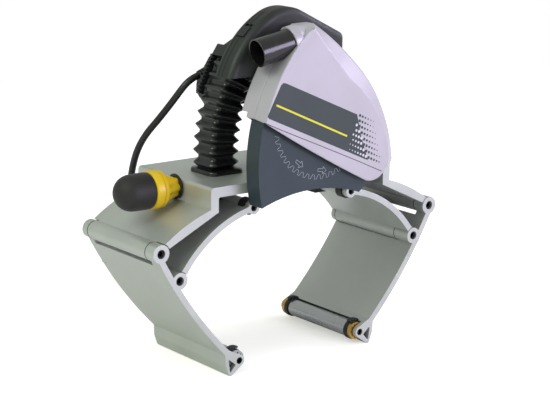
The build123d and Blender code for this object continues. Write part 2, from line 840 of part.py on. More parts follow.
def make_blade_flanges():
    """Makes the inner flange, whose hub centres the blade, and the outer flange."""
    hub = blade_bore / 2 - turn_gap
    inner = disc(blade_x, blade_z, inner_flange_radius, blade_rear_y, inner_flange_rear)
    inner += disc(blade_x, blade_z, hub, blade_y, blade_rear_y)
    inner -= disc(blade_x, blade_z, spindle_radius, blade_y - overrun, inner_flange_rear + overrun)
    outer = disc(blade_x, blade_z, outer_flange_radius, outer_flange_front, blade_y)
    outer -= disc(blade_x, blade_z, spindle_bore_radius, outer_flange_front - overrun, blade_y + overrun)
    return group(inner, outer)


def make_blade_bolt():
    """Makes the bolt that holds the outer flange, with a socket in its head."""
    head_front = outer_flange_front - bolt_head_height
    bolt = disc(blade_x, blade_z, bolt_head_radius, head_front, outer_flange_front)
    bolt += disc(blade_x, blade_z, spindle_bore_radius, outer_flange_front, blade_rear_y + bearing_width)
    socket_end = head_front + bolt_head_height / 2
    return bolt - disc(blade_x, blade_z, socket_radius, head_front - overrun, socket_end)


def make_spindle():
    """Makes the blade spindle, bored at the front for the blade bolt."""
    spindle = disc(blade_x, blade_z, spindle_radius, blade_y, spindle_rear_y)
    collar_radius = bearing_radius - 2 * edge_radius
    spindle += disc(blade_x, blade_z, collar_radius, inner_flange_rear, spindle_collar_rear)
    bore_rear = blade_rear_y + bearing_width
    return spindle - disc(blade_x, blade_z, spindle_bore_radius, blade_y - overrun, bore_rear)


# Gears


def gear_radius(teeth):
    """Gives the pitch radius of a gear."""
    return teeth * gear_module / 2


def train_centre():
    """Places the axis of the intermediate gears, which mesh with the pinion and the spindle gear."""
    to_motor = gear_radius(pinion_teeth) + gear_radius(large_gear_teeth)
    to_spindle = gear_radius(small_gear_teeth) + gear_radius(spindle_gear_teeth)
    across, up = blade_x - motor_x, blade_z - motor_z
    span = hypot(across, up)
    along = (to_motor ** 2 - to_spindle ** 2 + span ** 2) / (2 * span)
    aside = sqrt(to_motor ** 2 - along ** 2)
    unit = (across / span, up / span)
    return (motor_x + unit[0] * along - unit[1] * aside, motor_z + unit[1] * along + unit[0] * aside)


train_x, train_z = train_centre()


def gear_section(x, z, teeth, phase_deg):
    """Makes the section of a spur gear with one tooth centred at the phase angle."""
    pitch = gear_radius(teeth)
    step = 360 / teeth
    half = step / 4 * (1 - gear_backlash_share)
    tip, root = pitch + gear_tip_share * gear_module, pitch - gear_root_share * gear_module
    foot, crest = half * gear_flank_foot_share, half * gear_flank_tip_share
    points = []
    for tooth in range(teeth):
        middle = phase_deg + tooth * step
        points.append(polar(x, z, root, middle - foot))
        points.append(polar(x, z, tip, middle - crest))
        points.append(polar(x, z, tip, middle + crest))
        points.append(polar(x, z, root, middle + foot))
    return make_face(Polyline(*points, close=True))


def angle_to(x0, z0, x1, z1):
    """Gives the direction in degrees from one axis to another."""
    return degrees(atan2(z1 - z0, x1 - x0))


first_stage_front = housing_front_y + housing_wall + 1.5 * gear_width + 2 * edge_radius
second_stage_front = housing_front_y + housing_wall + gear_width / 2
spindle_rear_y = second_stage_front + gear_width + edge_radius
large_gear_phase = angle_to(train_x, train_z, motor_x, motor_z)
pinion_phase = large_gear_phase + 180 + 180 / pinion_teeth
small_gear_phase = angle_to(train_x, train_z, blade_x, blade_z)
spindle_gear_phase = small_gear_phase + 180 + 180 / spindle_gear_teeth


def make_spindle_gear():
    """Makes the gear on the blade spindle."""
    section = gear_section(blade_x, blade_z, spindle_gear_teeth, spindle_gear_phase)
    section -= Pos(blade_x, blade_z) * Circle(spindle_radius)
    return slab(section, second_stage_front, second_stage_front + gear_width)


def make_intermediate_gears():
    """Makes the intermediate shaft with its large and its small gear."""
    large = gear_section(train_x, train_z, large_gear_teeth, large_gear_phase)
    small = gear_section(train_x, train_z, small_gear_teeth, small_gear_phase)
    gears = slab(large, first_stage_front + edge_radius, first_stage_front + gear_width - edge_radius)
    gears += slab(small, second_stage_front, first_stage_front + edge_radius)
    shaft_front = housing_front_y + housing_wall / 2
    return gears + disc(train_x, train_z, shaft_radius, shaft_front, housing_rear_y - edge_radius)


# Motor


stator_front = housing_rear_y + stator_front_gap
stator_rear = stator_front + stator_length
commutator_front = stator_rear + 3 * edge_radius
commutator_rear = commutator_front + commutator_length
rear_bearing_front = cover_rear_y - cover_wall - bearing_width


def make_armature_shaft():
    """Makes the armature shaft with its pinion."""
    shaft = disc(motor_x, motor_z, shaft_radius, first_stage_front, cover_rear_y - cover_wall - edge_radius)
    pinion = gear_section(motor_x, motor_z, pinion_teeth, pinion_phase)
    return shaft + slab(pinion, first_stage_front, first_stage_front + gear_width)


def make_armature_core():
    """Makes the wound core, the commutator and the cooling fan on the armature shaft."""
    core = disc(motor_x, motor_z, armature_radius, stator_front, stator_rear, shaft_radius)
    commutator = disc(motor_x, motor_z, commutator_radius, commutator_front, commutator_rear, shaft_radius)
    fan_front = housing_rear_y + edge_radius
    hub_radius = 2 * shaft_radius
    fan = disc(motor_x, motor_z, hub_radius, fan_front, fan_front + fan_width, shaft_radius)
    fan += disc(motor_x, motor_z, fan_radius, fan_front, fan_front + edge_radius, shaft_radius)
    for blade in range(fan_blades):
        angle = 360 * blade / fan_blades
        x, z = polar(motor_x, motor_z, (fan_radius + hub_radius) / 2, angle)
        vane = Rot(0, 0, angle) * Rectangle(fan_radius - hub_radius - edge_radius, edge_radius)
        fan += slab(Pos(x, z) * vane, fan_front, fan_front + fan_width)
    return group(core, commutator, fan)


def make_stator():
    """Makes the stator ring with its two poles."""
    outer = motor_can_radius - motor_can_wall
    inner = armature_radius + armature_air_gap
    back_iron = Circle(outer) - Circle(outer - 2 * motor_can_wall)
    pole_width = stator_pole_share * inner
    pole = Rectangle(pole_width, 2 * (outer - motor_can_wall)) - Circle(inner)
    keeper = Circle(outer - motor_can_wall)
    section = back_iron + (pole & keeper)
    return slab(Pos(motor_x, motor_z) * section, stator_front, stator_rear)


def make_brush_holders():
    """Makes the two carbon brushes in their holders, which stand on the rear of the stator."""
    holders = []
    for side in (1, -1):
        inner = commutator_radius + part_gap
        middle = motor_x + side * (inner + brush_length / 2)
        length = motor_rear_y + commutator_length / 2 - stator_rear
        size = (brush_length, length, brush_width)
        holder = Pos(middle, stator_rear + length / 2, motor_z) * Box(*size)
        holders.append(holder)
    return group(*holders)


def make_motor_can():
    """Makes the round motor housing behind the gear housing."""
    inner = motor_can_radius - motor_can_wall
    return disc(motor_x, motor_z, motor_can_radius, housing_rear_y, motor_rear_y, inner)


def cover_circles(inset):
    """Lists the circles whose taut outline is the rear cover, drawn in by the inset."""
    return [
        (motor_x, motor_z, cover_motor_radius - inset),
        (cover_flank_x, cover_flank_z, cover_flank_radius - inset),
        (cover_shoulder_x, cover_shoulder_z, cover_flank_radius - inset),
    ]


def make_motor_rear_cover():
    """Makes the rear cover with the ribs on its left flank and the seat of the rear bearing."""
    cover = slab(hull_of(cover_circles(0)), motor_rear_y, cover_rear_y)
    cover = fillet(cover.edges().group_by(Axis.Y)[-1], cover_wall)
    cavity_rear = cover_rear_y - cover_wall
    cover -= slab(hull_of(cover_circles(cover_wall)), motor_rear_y + cover_wall, cavity_rear)
    cover -= disc(motor_x, motor_z, motor_can_radius - motor_can_wall, motor_rear_y - overrun,
                  motor_rear_y + 2 * cover_wall)
    seat_radius = bearing_radius + cover_wall
    cover += disc(motor_x, motor_z, seat_radius, rear_bearing_front, cavity_rear, bearing_radius)
    rib_span = cover_rear_y - motor_rear_y - 2 * cover_wall
    upper = cover_shoulder_z + cover_flank_radius / 2
    for rib in range(cover_rib_count):
        z = upper - rib * cover_rib_pitch
        reach = cover_flank_x - cover_flank_radius + max(0, z - cover_flank_z) * cover_rib_lean_share
        width = cover_wall + 2 * cover_rib_height
        place = Pos(reach + width / 2 - cover_rib_height / 2, (motor_rear_y + cover_rear_y) / 2, z)
        cover += place * Box(width, rib_span, cover_rib_pitch / 2)
    return cover - boot_socket()


def make_bearings():
    """Makes the ball bearings of the spindle, the intermediate shaft and the armature."""
    wall_mid = housing_front_y + housing_wall / 2
    wide_bore, bore = spindle_radius + turn_gap, shaft_radius + turn_gap
    front_rear = second_stage_front - edge_radius
    front = disc(blade_x, blade_z, bearing_radius, housing_front_y, front_rear, wide_bore)
    train_front = disc(train_x, train_z, bearing_radius - edge_radius, wall_mid,
                       second_stage_front - edge_radius, bore)
    rear_front = housing_rear_y - housing_wall - edge_radius
    train_rear = disc(train_x, train_z, bearing_radius - edge_radius, rear_front, housing_rear_y, bore)
    motor_front = disc(motor_x, motor_z, bearing_radius, rear_front, housing_rear_y, bore)
    motor_rear = disc(motor_x, motor_z, bearing_radius, rear_bearing_front, cover_rear_y - cover_wall, bore)
    return group(front, train_front, train_rear, motor_front, motor_rear)


# Gear housing


def housing_circles(inset):
    """Lists the circles of the gear housing's outline in two taut groups, drawn in by the inset."""
    train_radius = gear_radius(large_gear_teeth) + gear_module + gear_room + housing_wall
    motor_radius = housing_top_z - motor_z
    spindle = (blade_x, blade_z, spindle_boss_radius - inset)
    train = (train_x, train_z, train_radius - inset)
    motor = (motor_x, motor_z, motor_radius - inset)
    seat_radius = motor_radius / 2
    seat_z = housing_top_z - seat_radius
    left_seat = (motor_x - handle_seat_reach, seat_z, seat_radius - inset)
    right_seat = (motor_x + handle_seat_reach, seat_z, seat_radius - inset)
    return [[spindle, train], [train, motor], [spindle, motor], [left_seat, motor, right_seat]]


def housing_section(inset):
    """Makes the outline of the gear housing, drawn in by the inset."""
    groups = [hull_of(circles) for circles in housing_circles(inset)]
    return groups[0] + groups[1:]


def make_gear_housing():
    """Makes the cast gear housing with the arm to the pivot and the flange of the motor."""
    arm_front = bracket_front_y + bracket_ear + hinge_gap
    arm_rear = arm_front + pivot_arm_width
    housing = slab(housing_section(0), housing_front_y, housing_rear_y)
    arm = hull_of([
        (train_x, train_z, spindle_boss_radius),
        (pivot_x, pivot_z, pivot_arm_radius),
    ])
    housing += slab(arm, arm_front, arm_rear)
    flange_front = housing_rear_y - housing_wall
    housing += disc(motor_x, motor_z, motor_can_radius, flange_front, housing_rear_y)
    cavity_front = housing_front_y + housing_wall
    cavity_rear = housing_rear_y - housing_wall
    housing -= slab(housing_section(housing_wall), cavity_front, cavity_rear)
    housing -= disc(pivot_x, pivot_z, pivot_pin_radius + turn_gap, 0, housing_rear_y + overrun)
    housing -= disc(blade_x, blade_z, bearing_radius, housing_front_y - overrun, cavity_front + overrun)
    housing -= disc(train_x, train_z, bearing_radius - edge_radius, housing_front_y + housing_wall / 2,
                    cavity_front + overrun)
    housing -= disc(train_x, train_z, bearing_radius - edge_radius, cavity_rear - overrun,
                    housing_rear_y)
    return housing - disc(motor_x, motor_z, bearing_radius, cavity_rear - overrun, housing_rear_y + overrun)


# Guards


def at_blade(share):
    """Places a share of the blade's diameter from the blade's centre."""
    return (blade_x + share[0] * blade_diameter, blade_z + share[1] * blade_diameter)


def on_guard_arc(z, radius):
    """Gives the point at a height on an arc about the pivot, on its left side."""
    rise = z - pivot_z
    return (pivot_x - sqrt(radius * radius - rise * rise), z)


def guard_outline(top_share, shoulder_shares, side_shares, cap_shares, foot_z, inset):
    """Makes the outline of the upper guard, drawn in by the inset."""
    foot = on_guard_arc(foot_z, guard_arc_radius)
    top = at_blade(top_share)
    shoulder = [at_blade(share) for share in shoulder_shares]
    side = [at_blade(share) for share in side_shares]
    cap = [at_blade(share) for share in cap_shares]
    left_mid = on_guard_arc((foot_z + top[1]) / 2, guard_arc_radius)
    outline = ThreePointArc(foot, left_mid, top) + Line(top, shoulder[0])
    outline += ThreePointArc(*shoulder) + ThreePointArc(shoulder[2], side[0], side[1])
    outline += ThreePointArc(side[1], cap[0], cap[1])
    outline += bulged(cap[1], foot, guard_strip_bulge_share * blade_diameter)
    face = make_face(outline)
    return offset(face, amount=-inset) if inset else face


guard_foot_front_z = blade_z + guard_foot_front_share * blade_diameter
guard_foot_seam_z = blade_z + guard_foot_seam_share * blade_diameter


def front_outline(inset):
    """Makes the outline of the guard's front face."""
    shares = (guard_front_top_share, guard_front_shoulder_shares, guard_front_side_shares)
    return guard_outline(*shares, guard_front_cap_shares, guard_foot_front_z, inset)


def seam_outline(inset):
    """Makes the outline of the guard at the seam between its two shells."""
    shares = (guard_seam_top_share, guard_seam_shoulder_shares, guard_seam_side_shares)
    return guard_outline(*shares, guard_seam_cap_shares, guard_foot_seam_z, inset)


def guard_body(y_front, y_rear, inset):
    """Makes the tapered solid between the front face and the seam."""
    front = front_plane(y_front) * front_outline(inset)
    rear = front_plane(y_rear) * seam_outline(inset)
    return loft([front, rear], ruled=True)


def guard_mouth():
    """Makes the room through which the blade and the lower guard leave the upper guard."""
    foot = on_guard_arc(guard_foot_front_z + guard_mouth_depth, guard_arc_radius)
    left_x = foot[0] - guard_mouth_depth
    low_z = blade_z - blade_diameter
    cap_x, cap_z = at_blade(guard_front_cap_shares[1])
    end_x = at_blade(guard_mouth_end_share)[0]
    points = [(left_x, foot[1]), (cap_x, cap_z + guard_mouth_depth), (end_x, cap_z + guard_mouth_depth)]
    points += [(end_x, low_z), (left_x, low_z)]
    keeper = Pos(pivot_x, pivot_z) * Circle(guard_arc_radius - guard_wall)
    face = make_face(Polyline(*points, close=True)) & keeper
    return slab(face, guard_front_y + guard_wall, guard_rear_y - guard_wall)


def dust_plane():
    """Gives the plane of the dust tube's mouth, with its normal along the tube into the guard."""
    slope, turn = radians(dust_tube_slope_deg), radians(dust_tube_turn_deg)
    into = (cos(slope) * cos(turn), sin(turn), sin(slope) * cos(turn))
    return Plane((dust_mouth_x, guard_seam_y, dust_mouth_z), x_dir=(-sin(turn), cos(turn), 0), z_dir=into)


def dust_cylinder(radius, start, length):
    """Makes a cylinder on the axis of the dust tube."""
    return extrude(dust_plane().offset(start) * Circle(radius), amount=length)


def dust_tube_body():
    """Makes the outside of the dust tube, a little thinner behind the end that takes a hose cuff."""
    cuff_end = dust_cylinder(dust_tube_radius, 0, dust_cuff_length)
    rest = dust_tube_length - dust_cuff_length
    return cuff_end + dust_cylinder(dust_tube_radius - dust_seat_step, dust_cuff_length, rest)


def make_dust_tube():
    """Makes the tube of the dust port."""
    return dust_tube_body() - dust_cylinder(dust_tube_radius - dust_tube_wall, 0, dust_tube_length)


def dust_collar():
    """Makes the collar that stands round the end of the dust tube, tapering into the guard."""
    radius = dust_tube_radius + dust_collar_wall
    collar = dust_cylinder(radius, dust_collar_start, dust_collar_length)
    end = dust_plane().offset(dust_collar_start + dust_collar_length) * Circle(radius)
    return collar + extrude(end, amount=dust_collar_end_length, taper=dust_collar_taper_deg)


def dust_passage():
    """Makes the room for the dust tube and the passage from its end into the guard."""
    bore = dust_tube_radius - dust_tube_wall
    end = dust_plane().offset(dust_tube_length) * Circle(bore)
    passage = extrude(end, amount=dust_collar_end_length, taper=dust_collar_taper_deg)
    return dust_tube_body() + passage


def half_space(y_front, y_rear):
    """Makes a large block between two values of y, to part the two shells of the guard."""
    size = 4 * blade_diameter
    return Pos(blade_x, (y_front + y_rear) / 2, blade_z) * Box(size, y_rear - y_front, size)


def make_guard_front_cover():
    """Makes the front shell of the upper guard."""
    cover = guard_body(guard_front_y, guard_seam_y, 0)
    cover += dust_collar() & half_space(guard_front_y, guard_seam_y)
    cover -= guard_body(guard_front_y + guard_wall, guard_seam_y, guard_wall)
    cover -= guard_mouth()
    boss_rear = lower_guard_hub_front_y - hinge_gap
    boss = disc(pivot_x, pivot_z, guard_boss_radius, guard_front_y, boss_rear)
    cover += boss & guard_body(guard_front_y, guard_seam_y, 0)
    cover -= disc(pivot_x, pivot_z, lower_guard_pin_radius, boss_rear - guard_wall, boss_rear)
    return cover - dust_passage()


def duct_section(inset):
    """Makes the outline of the dust duct at the rear of the guard, above the platform."""
    whole = seam_outline(inset)
    keep_z = guard_duct_floor_z + inset
    limit_x = blade_x - blade_diameter / 4 - inset
    size = 2 * guard_arc_radius
    room = Pos(limit_x, keep_z) * Rectangle(size, size, align=(Align.MAX, Align.MIN))
    return whole & room


def make_guard_rear_shell():
    """Makes the rear shell of the upper guard with the dust duct behind it."""
    shell = slab(seam_outline(0), guard_seam_y, guard_rear_y)
    duct = slab(duct_section(0), guard_rear_y, guard_upper_rear_y)
    shell += duct + (dust_collar() & half_space(guard_seam_y, guard_upper_rear_y))
    shell -= slab(seam_outline(guard_wall), guard_seam_y, guard_rear_y - guard_wall)
    shell -= slab(duct_section(guard_wall), guard_rear_y - guard_wall, guard_upper_rear_y - guard_wall)
    shell -= disc(blade_x, blade_z, bearing_radius, guard_rear_y - guard_wall, guard_rear_y)
    shell -= guard_mouth()
    shell += disc(pivot_x, pivot_z, lower_guard_pin_radius, lower_guard_hub_front_y - hinge_gap - guard_wall,
                  guard_rear_y - guard_wall / 2)
    return shell - dust_passage()


def guard_screw_places():
    """Lists where the screws hold the front shell."""
    return [at_blade(share) for share in guard_screw_shares]


def make_guard_screws():
    """Makes the heads of the screws on the guard's rear wall."""
    screws = []
    for x, z in guard_screw_places():
        front = guard_rear_y - guard_wall - guard_screw_length
        screws.append(disc(x, z, guard_screw_radius, front, guard_rear_y - guard_wall))
    return group(*screws)


def lower_guard_outline(inset):
    """Makes the outline of the lower guard: outer arc, arched lower edge, tip and pivot boss."""
    top = on_guard_arc(blade_z + lower_guard_top_share * blade_diameter, lower_guard_arc_radius - inset)
    arch_radius = lower_guard_arch_radius_share * blade_diameter
    arch_x = blade_x + lower_guard_arch_x_share * blade_diameter
    arch_z = upper_axle_z + lower_guard_arch_clear - arch_radius
    tip = at_blade(lower_guard_tip_shares[0])
    notch = at_blade(lower_guard_tip_shares[1])
    foot = lower_guard_foot(arch_x, arch_z, arch_radius)
    mid = on_guard_arc((top[1] + foot[1]) / 2, lower_guard_arc_radius - inset)
    arch_mid = (arch_x, arch_z + arch_radius)
    boss_low = polar(pivot_x, pivot_z, lower_guard_pivot_radius, lower_guard_boss_low_deg)
    boss_high = polar(pivot_x, pivot_z, lower_guard_pivot_radius, lower_guard_boss_high_deg)
    outline = ThreePointArc(top, mid, foot) + ThreePointArc(foot, arch_mid, tip)
    outline += Line(tip, notch) + Line(notch, boss_low)
    outline += ThreePointArc(boss_low, (pivot_x + lower_guard_pivot_radius, pivot_z), boss_high)
    return make_face(outline + Line(boss_high, top))



def lower_guard_foot(arch_x, arch_z, arch_radius):
    """Finds where the arched lower edge meets the outer arc of the lower guard."""
    across, up = arch_x - pivot_x, arch_z - pivot_z
    span = hypot(across, up)
    outer = lower_guard_arc_radius
    along = (outer ** 2 - arch_radius ** 2 + span ** 2) / (2 * span)
    aside = sqrt(outer ** 2 - along ** 2)
    unit = (across / span, up / span)
    return (pivot_x + unit[0] * along + unit[1] * aside, pivot_z + unit[1] * along - unit[0] * aside)


def make_lower_guard():
    """Makes the swinging lower guard: a front wall, an outer arc wall and a narrow rear rim."""
    whole = slab(lower_guard_outline(0), lower_guard_front_y, lower_guard_rear_y)
    inner_radius = lower_guard_arc_radius - lower_guard_wall
    rim_radius = lower_guard_arc_radius - 4 * lower_guard_wall
    front_wall_rear = lower_guard_front_y + lower_guard_wall
    rim_front = lower_guard_rear_y - lower_guard_wall / 2
    whole -= disc(pivot_x, pivot_z, inner_radius, front_wall_rear, rim_front)
    whole -= disc(pivot_x, pivot_z, rim_radius, rim_front - overrun, lower_guard_rear_y + overrun)
    step_bore = lower_guard_step_radius - lower_guard_wall
    whole -= disc(pivot_x, pivot_z, step_bore, lower_guard_front_y - overrun, front_wall_rear + overrun)
    near = lower_guard_outline(0) & (Pos(pivot_x, pivot_z) * Circle(lower_guard_step_radius))
    step = near - Pos(pivot_x, pivot_z) * Circle(step_bore)
    whole += slab(step, lower_guard_front_y, lower_guard_arm_rear_y)
    whole += slab(near, lower_guard_arm_front_y, lower_guard_arm_rear_y)
    whole += disc(pivot_x, pivot_z, lower_guard_hub_radius, lower_guard_hub_front_y, lower_guard_rear_y)
    return whole - disc(pivot_x, pivot_z, lower_guard_pin_radius + turn_gap, guard_front_y, 0)


# Handle


handle_slope = atan2(handle_apex_z - handle_left_z, handle_apex_x - handle_left_x)
handle_fall = atan2(handle_apex_z - handle_right_z, handle_right_x - handle_apex_x)
handle_base_z = housing_top_z + handle_base_rise
handle_seam_y = (handle_front_y + handle_rear_y) / 2


def handle_outer():
    """Makes the outer outline of the handle loop."""
    foot = (handle_left_x, handle_left_z)
    apex = (handle_apex_x, handle_apex_z)
    right = (handle_right_x, handle_right_z)
    points = [
        apex,
        right,
        (handle_right_x, housing_top_z),
        (motor_x - handle_seat_reach - bearing_radius, housing_top_z),
        (handle_left_x + 3 * handle_bar, handle_left_z),
        foot,
    ]
    face = make_face(bulged(foot, apex, handle_bulge) + Polyline(*points))
    face = rounded_corners(face, [apex], handle_apex_radius)
    return rounded_corners(face, [right], handle_inner_radius)


def handle_inner():
    """Makes the outline of the hole in the handle loop."""
    left = (handle_left_x + handle_bar / sin(handle_slope), handle_left_z)
    slope_run = (handle_base_z - handle_left_z) / (sin(handle_slope) / cos(handle_slope))
    base_left = (left[0] + slope_run, handle_base_z)
    right_x = handle_right_x - handle_bar
    left_gain = sin(handle_slope) / cos(handle_slope)
    right_gain = sin(handle_fall) / cos(handle_fall)
    under_apex = handle_apex_z - handle_bar / cos(handle_fall)
    reach = (under_apex + right_gain * handle_apex_x - base_left[1] + left_gain * base_left[0])
    apex_x = reach / (left_gain + right_gain)
    apex = (apex_x, base_left[1] + left_gain * (apex_x - base_left[0]))
    right_top = (right_x, under_apex - right_gain * (right_x - handle_apex_x))
    right_foot = (right_x, handle_base_z)
    face = make_face(Polyline(base_left, apex, right_top, right_foot, close=True))
    face = rounded_corners(face, [apex], handle_inner_radius)
    face = rounded_corners(face, [base_left], handle_foot_radius)
    return rounded_corners(face, [right_top, right_foot], handle_corner_radius)


def bar_point(along, across):
    """Places a point along the left bar from its foot, and in from its outer face."""
    x = handle_left_x + along * cos(handle_slope) + across * sin(handle_slope)
    z = handle_left_z + along * sin(handle_slope) - across * cos(handle_slope)
    return (x, z)


bar_length = hypot(handle_apex_x - handle_left_x, handle_apex_z - handle_left_z)
trigger_along = bar_length * trigger_place_share
lock_lever_along = bar_length * lock_lever_place_share
lock_lever_floor = handle_wall - edge_radius / 2 - handle_bulge


def bar_block(along, length, from_across, to_across, y_front, y_rear):
    """Makes a block that lies along the left bar of the handle."""
    a = bar_point(along - length / 2, from_across)
    b = bar_point(along + length / 2, from_across)
    c = bar_point(along + length / 2, to_across)
    d = bar_point(along - length / 2, to_across)
    return slab(make_face(Polyline(a, b, c, d, close=True)), y_front, y_rear)


def handle_pockets():
    """Makes the room for the switch, the trigger and the lock lever."""
    switch_front = handle_seam_y - switch_width / 2
    switch_rear = handle_seam_y + switch_width / 2
    trigger_front = handle_seam_y - trigger_width / 2 - part_gap
    trigger_rear = handle_seam_y + trigger_width / 2 + part_gap
    lever_front = handle_seam_y - lock_lever_width / 2 - part_gap
    lever_rear = handle_seam_y + lock_lever_width / 2 + part_gap
    switch_end = handle_wall + switch_depth
    room = bar_block(trigger_along, switch_length, handle_wall, switch_end, switch_front, switch_rear)
    room += bar_block(trigger_along, trigger_length + 2 * part_gap, switch_end - edge_radius,
                      handle_bar + overrun, trigger_front, trigger_rear)
    return room + bar_block(lock_lever_along, lock_lever_length + 2 * part_gap, -handle_bulge - overrun,
                            lock_lever_floor, lever_front, lever_rear)


def handle_half(y_front, y_rear, outer_edge_y):
    """Makes one half of the handle loop with its outer edges rounded."""
    half = slab(handle_outer(), y_front, y_rear)
    outer = half.edges().group_by(Axis.Y)[0 if outer_edge_y == y_front else -1]
    half = fillet([edge for edge in outer if edge.center().Z > handle_base_z], handle_edge_radius)
    hole = handle_inner()
    half -= slab(hole, y_front, y_rear)
    middles = [edge.center() for edge in (front_plane(outer_edge_y) * hole).edges()]
    rim = [edge for edge in half.edges()
           if min((edge.center() - point).length for point in middles) < turn_gap]
    return fillet(rim, handle_hole_edge_radius) - handle_pockets()


def make_handle_front():
    """Makes the front half of the handle."""
    return handle_half(handle_front_y, handle_seam_y, handle_front_y)


def make_handle_rear():
    """Makes the rear half of the handle, with the head that presses on the bellows."""
    half = handle_half(handle_seam_y, handle_rear_y, handle_rear_y)
    head_rear = bellows_y + bellows_flange_half_side
    return half + arc_block(bellows_top_deg, bellows_top_deg + bellows_head_deg, handle_rear_y - overrun,
                            head_rear, bellows_radius - bellows_half_side + 6 * edge_radius,
                            bellows_radius + bellows_half_side)


def arc_block(start_deg, end_deg, y_front, y_rear, inner, outer):
    """Makes a block between two radii and two angles about the pivot, on its left side."""
    angles = (start_deg, (start_deg + end_deg) / 2, end_deg)
    a, b, c = (polar(pivot_x, pivot_z, outer, 180 - angle) for angle in angles)
    f, e, d = (polar(pivot_x, pivot_z, inner, 180 - angle) for angle in angles)
    outline = ThreePointArc(a, b, c) + Line(c, d) + ThreePointArc(d, e, f) + Line(f, a)
    return slab(make_face(outline), y_front, y_rear)


def make_power_switch():
    """Makes the switch inside the left bar."""
    end = handle_wall + switch_depth - edge_radius - part_gap
    front = handle_seam_y - switch_width / 2
    return bar_block(trigger_along, switch_length, handle_wall, end, front, front + switch_width)


def make_trigger():
    """Makes the trigger that stands out of the inner side of the left bar."""
    front = handle_seam_y - trigger_width / 2
    start = handle_wall + switch_depth - edge_radius + trigger_travel
    end = handle_bar + trigger_stand_out
    trigger = bar_block(trigger_along, trigger_length, start, end, front, front + trigger_width)
    return fillet(trigger.edges().filter_by(Axis.Y), 2 * edge_radius)


def make_lock_lever():
    """Makes the lock-off slider on the outer side of the left bar."""
    front = handle_seam_y - lock_lever_width / 2
    length = lock_lever_length - 2 * lock_lever_travel
    top = -handle_bulge - lock_lever_rise
    along = lock_lever_along - lock_lever_travel
    return bar_block(along, length, top, lock_lever_floor - part_gap, front, front + lock_lever_width)


# Bellows and spring


def bend_plane(angle_deg):
    """Gives the cross plane of the bellows at an angle about the pivot."""
    x, z = polar(pivot_x, pivot_z, bellows_radius, 180 - angle_deg)
    angle = radians(angle_deg)
    return Plane((x, bellows_y, z), x_dir=(0, 1, 0), z_dir=(sin(angle), 0, cos(angle)))


def bellows_square(half_side):
    """Makes the rounded square of a bellows section."""
    return RectangleRounded(2 * half_side, 2 * half_side, bellows_corner_radius)


bellows_base_deg = degrees(atan2(platform_top - pivot_z, bellows_radius))
bellows_flange_deg = degrees(bellows_flange_height / bellows_radius)


def make_bellows():
    """Makes the ribbed rubber bellows over the return spring, with its bore and its base flange."""
    start = bellows_base_deg + bellows_flange_deg
    step = (bellows_top_deg - start) / (2 * bellows_folds)
    sections = []
    for fold in range(2 * bellows_folds + 1):
        half_side = bellows_valley_half_side if fold % 2 == 0 else bellows_half_side
        sections.append(bend_plane(start + fold * step) * bellows_square(half_side))
    body = loft(sections, ruled=True)
    flange_centre = polar(pivot_x, pivot_z, bellows_radius, 180 - bellows_base_deg)
    flange_plane = Plane((flange_centre[0], bellows_y, platform_top))
    flange = extrude(flange_plane * bellows_square(bellows_flange_half_side), amount=bellows_flange_height)
    bore_square = bellows_square(bellows_bore_half_side)
    bore = loft([bend_plane(bellows_base_deg - bellows_flange_deg) * bore_square,
                 bend_plane((start + bellows_top_deg) / 3) * bore_square,
                 bend_plane((start + bellows_top_deg) * 2 / 3) * bore_square,
                 bend_plane(bellows_top_deg + edge_radius) * bore_square], ruled=True)
    return body + flange - bore


def make_plunge_spring():
    """Makes the return spring inside the bellows as a closed sleeve bent about the pivot."""
    start = bellows_base_deg + degrees(2 * edge_radius / bellows_radius)
    ring = Circle(spring_outer_radius) - Circle(spring_outer_radius - spring_wire)
    section = bend_plane(start) * ring
    axis = Axis((pivot_x, bellows_y, pivot_z), (0, 1, 0))
    arc = bellows_top_deg - start - degrees(edge_radius / bellows_radius)
    return revolve(section, axis=axis, revolution_arc=arc)


# Cord, boot, coil and plug


def boot_direction():
    """Gives the direction in which the cord leaves the boot."""
    slope = radians(boot_slope_deg)
    return (-cos(slope), 0, -sin(slope))


def boot_plane(distance):
    """Gives a cross plane of the boot at a distance from its root."""
    direction = boot_direction()
    place = (boot_root_x + direction[0] * distance, cord_exit_y, boot_root_z + direction[2] * distance)
    return Plane(place, x_dir=(0, 1, 0), z_dir=direction)


def boot_socket():
    """Makes the hole in the rear cover for the boot."""
    return extrude(boot_plane(0) * Circle(boot_root_radius), amount=boot_length)


def make_cord_boot():
    """Makes the tapered boot with its grooves."""
    body = loft([boot_plane(0) * Circle(boot_root_radius), boot_plane(boot_length) * Circle(boot_tip_radius)])
    for groove in range(boot_groove_count):
        place = boot_length - (boot_groove_count - groove) * 3 * edge_radius
        ring = Circle(boot_root_radius) - Circle(boot_tip_radius - edge_radius / 2)
        body -= extrude(boot_plane(place) * ring, amount=edge_radius)
    return body


def cord_points():
    """Lists the points of the free cord, from the boot's tip to the coil."""
    tip = boot_plane(boot_length).origin
    straight_end = boot_plane(boot_length + cord_straight_exit).origin
    return [Vector(tip), Vector(straight_end)] + [Vector(*point) for point in cord_route]


def corner_radii(points):
    """Gives each corner the radius that its shorter run allows."""
    radii = []
    for before, corner, after in zip(points, points[1:], points[2:]):
        run_in, run_out = corner - before, after - corner
        half_turn = radians(run_in.get_angle(run_out)) / 2
        radii.append(cord_bend_share * min(run_in.length, run_out.length) / (sin(half_turn) / cos(half_turn)))
    return radii


def sweep_cord(path, name):
    """Sweeps the cord's section along a path and prints how the volume compares with the length."""
    start = path @ 0
    section = Plane(start, z_dir=path % 0) * Circle(cord_radius)
    tube = sweep(section, path=path)
    expected = pi * cord_radius ** 2 * path.length
    share = round(tube.volume / expected, 4)
    print(name, "length", round(path.length, 1), "volume over section times length", share)
    return tube


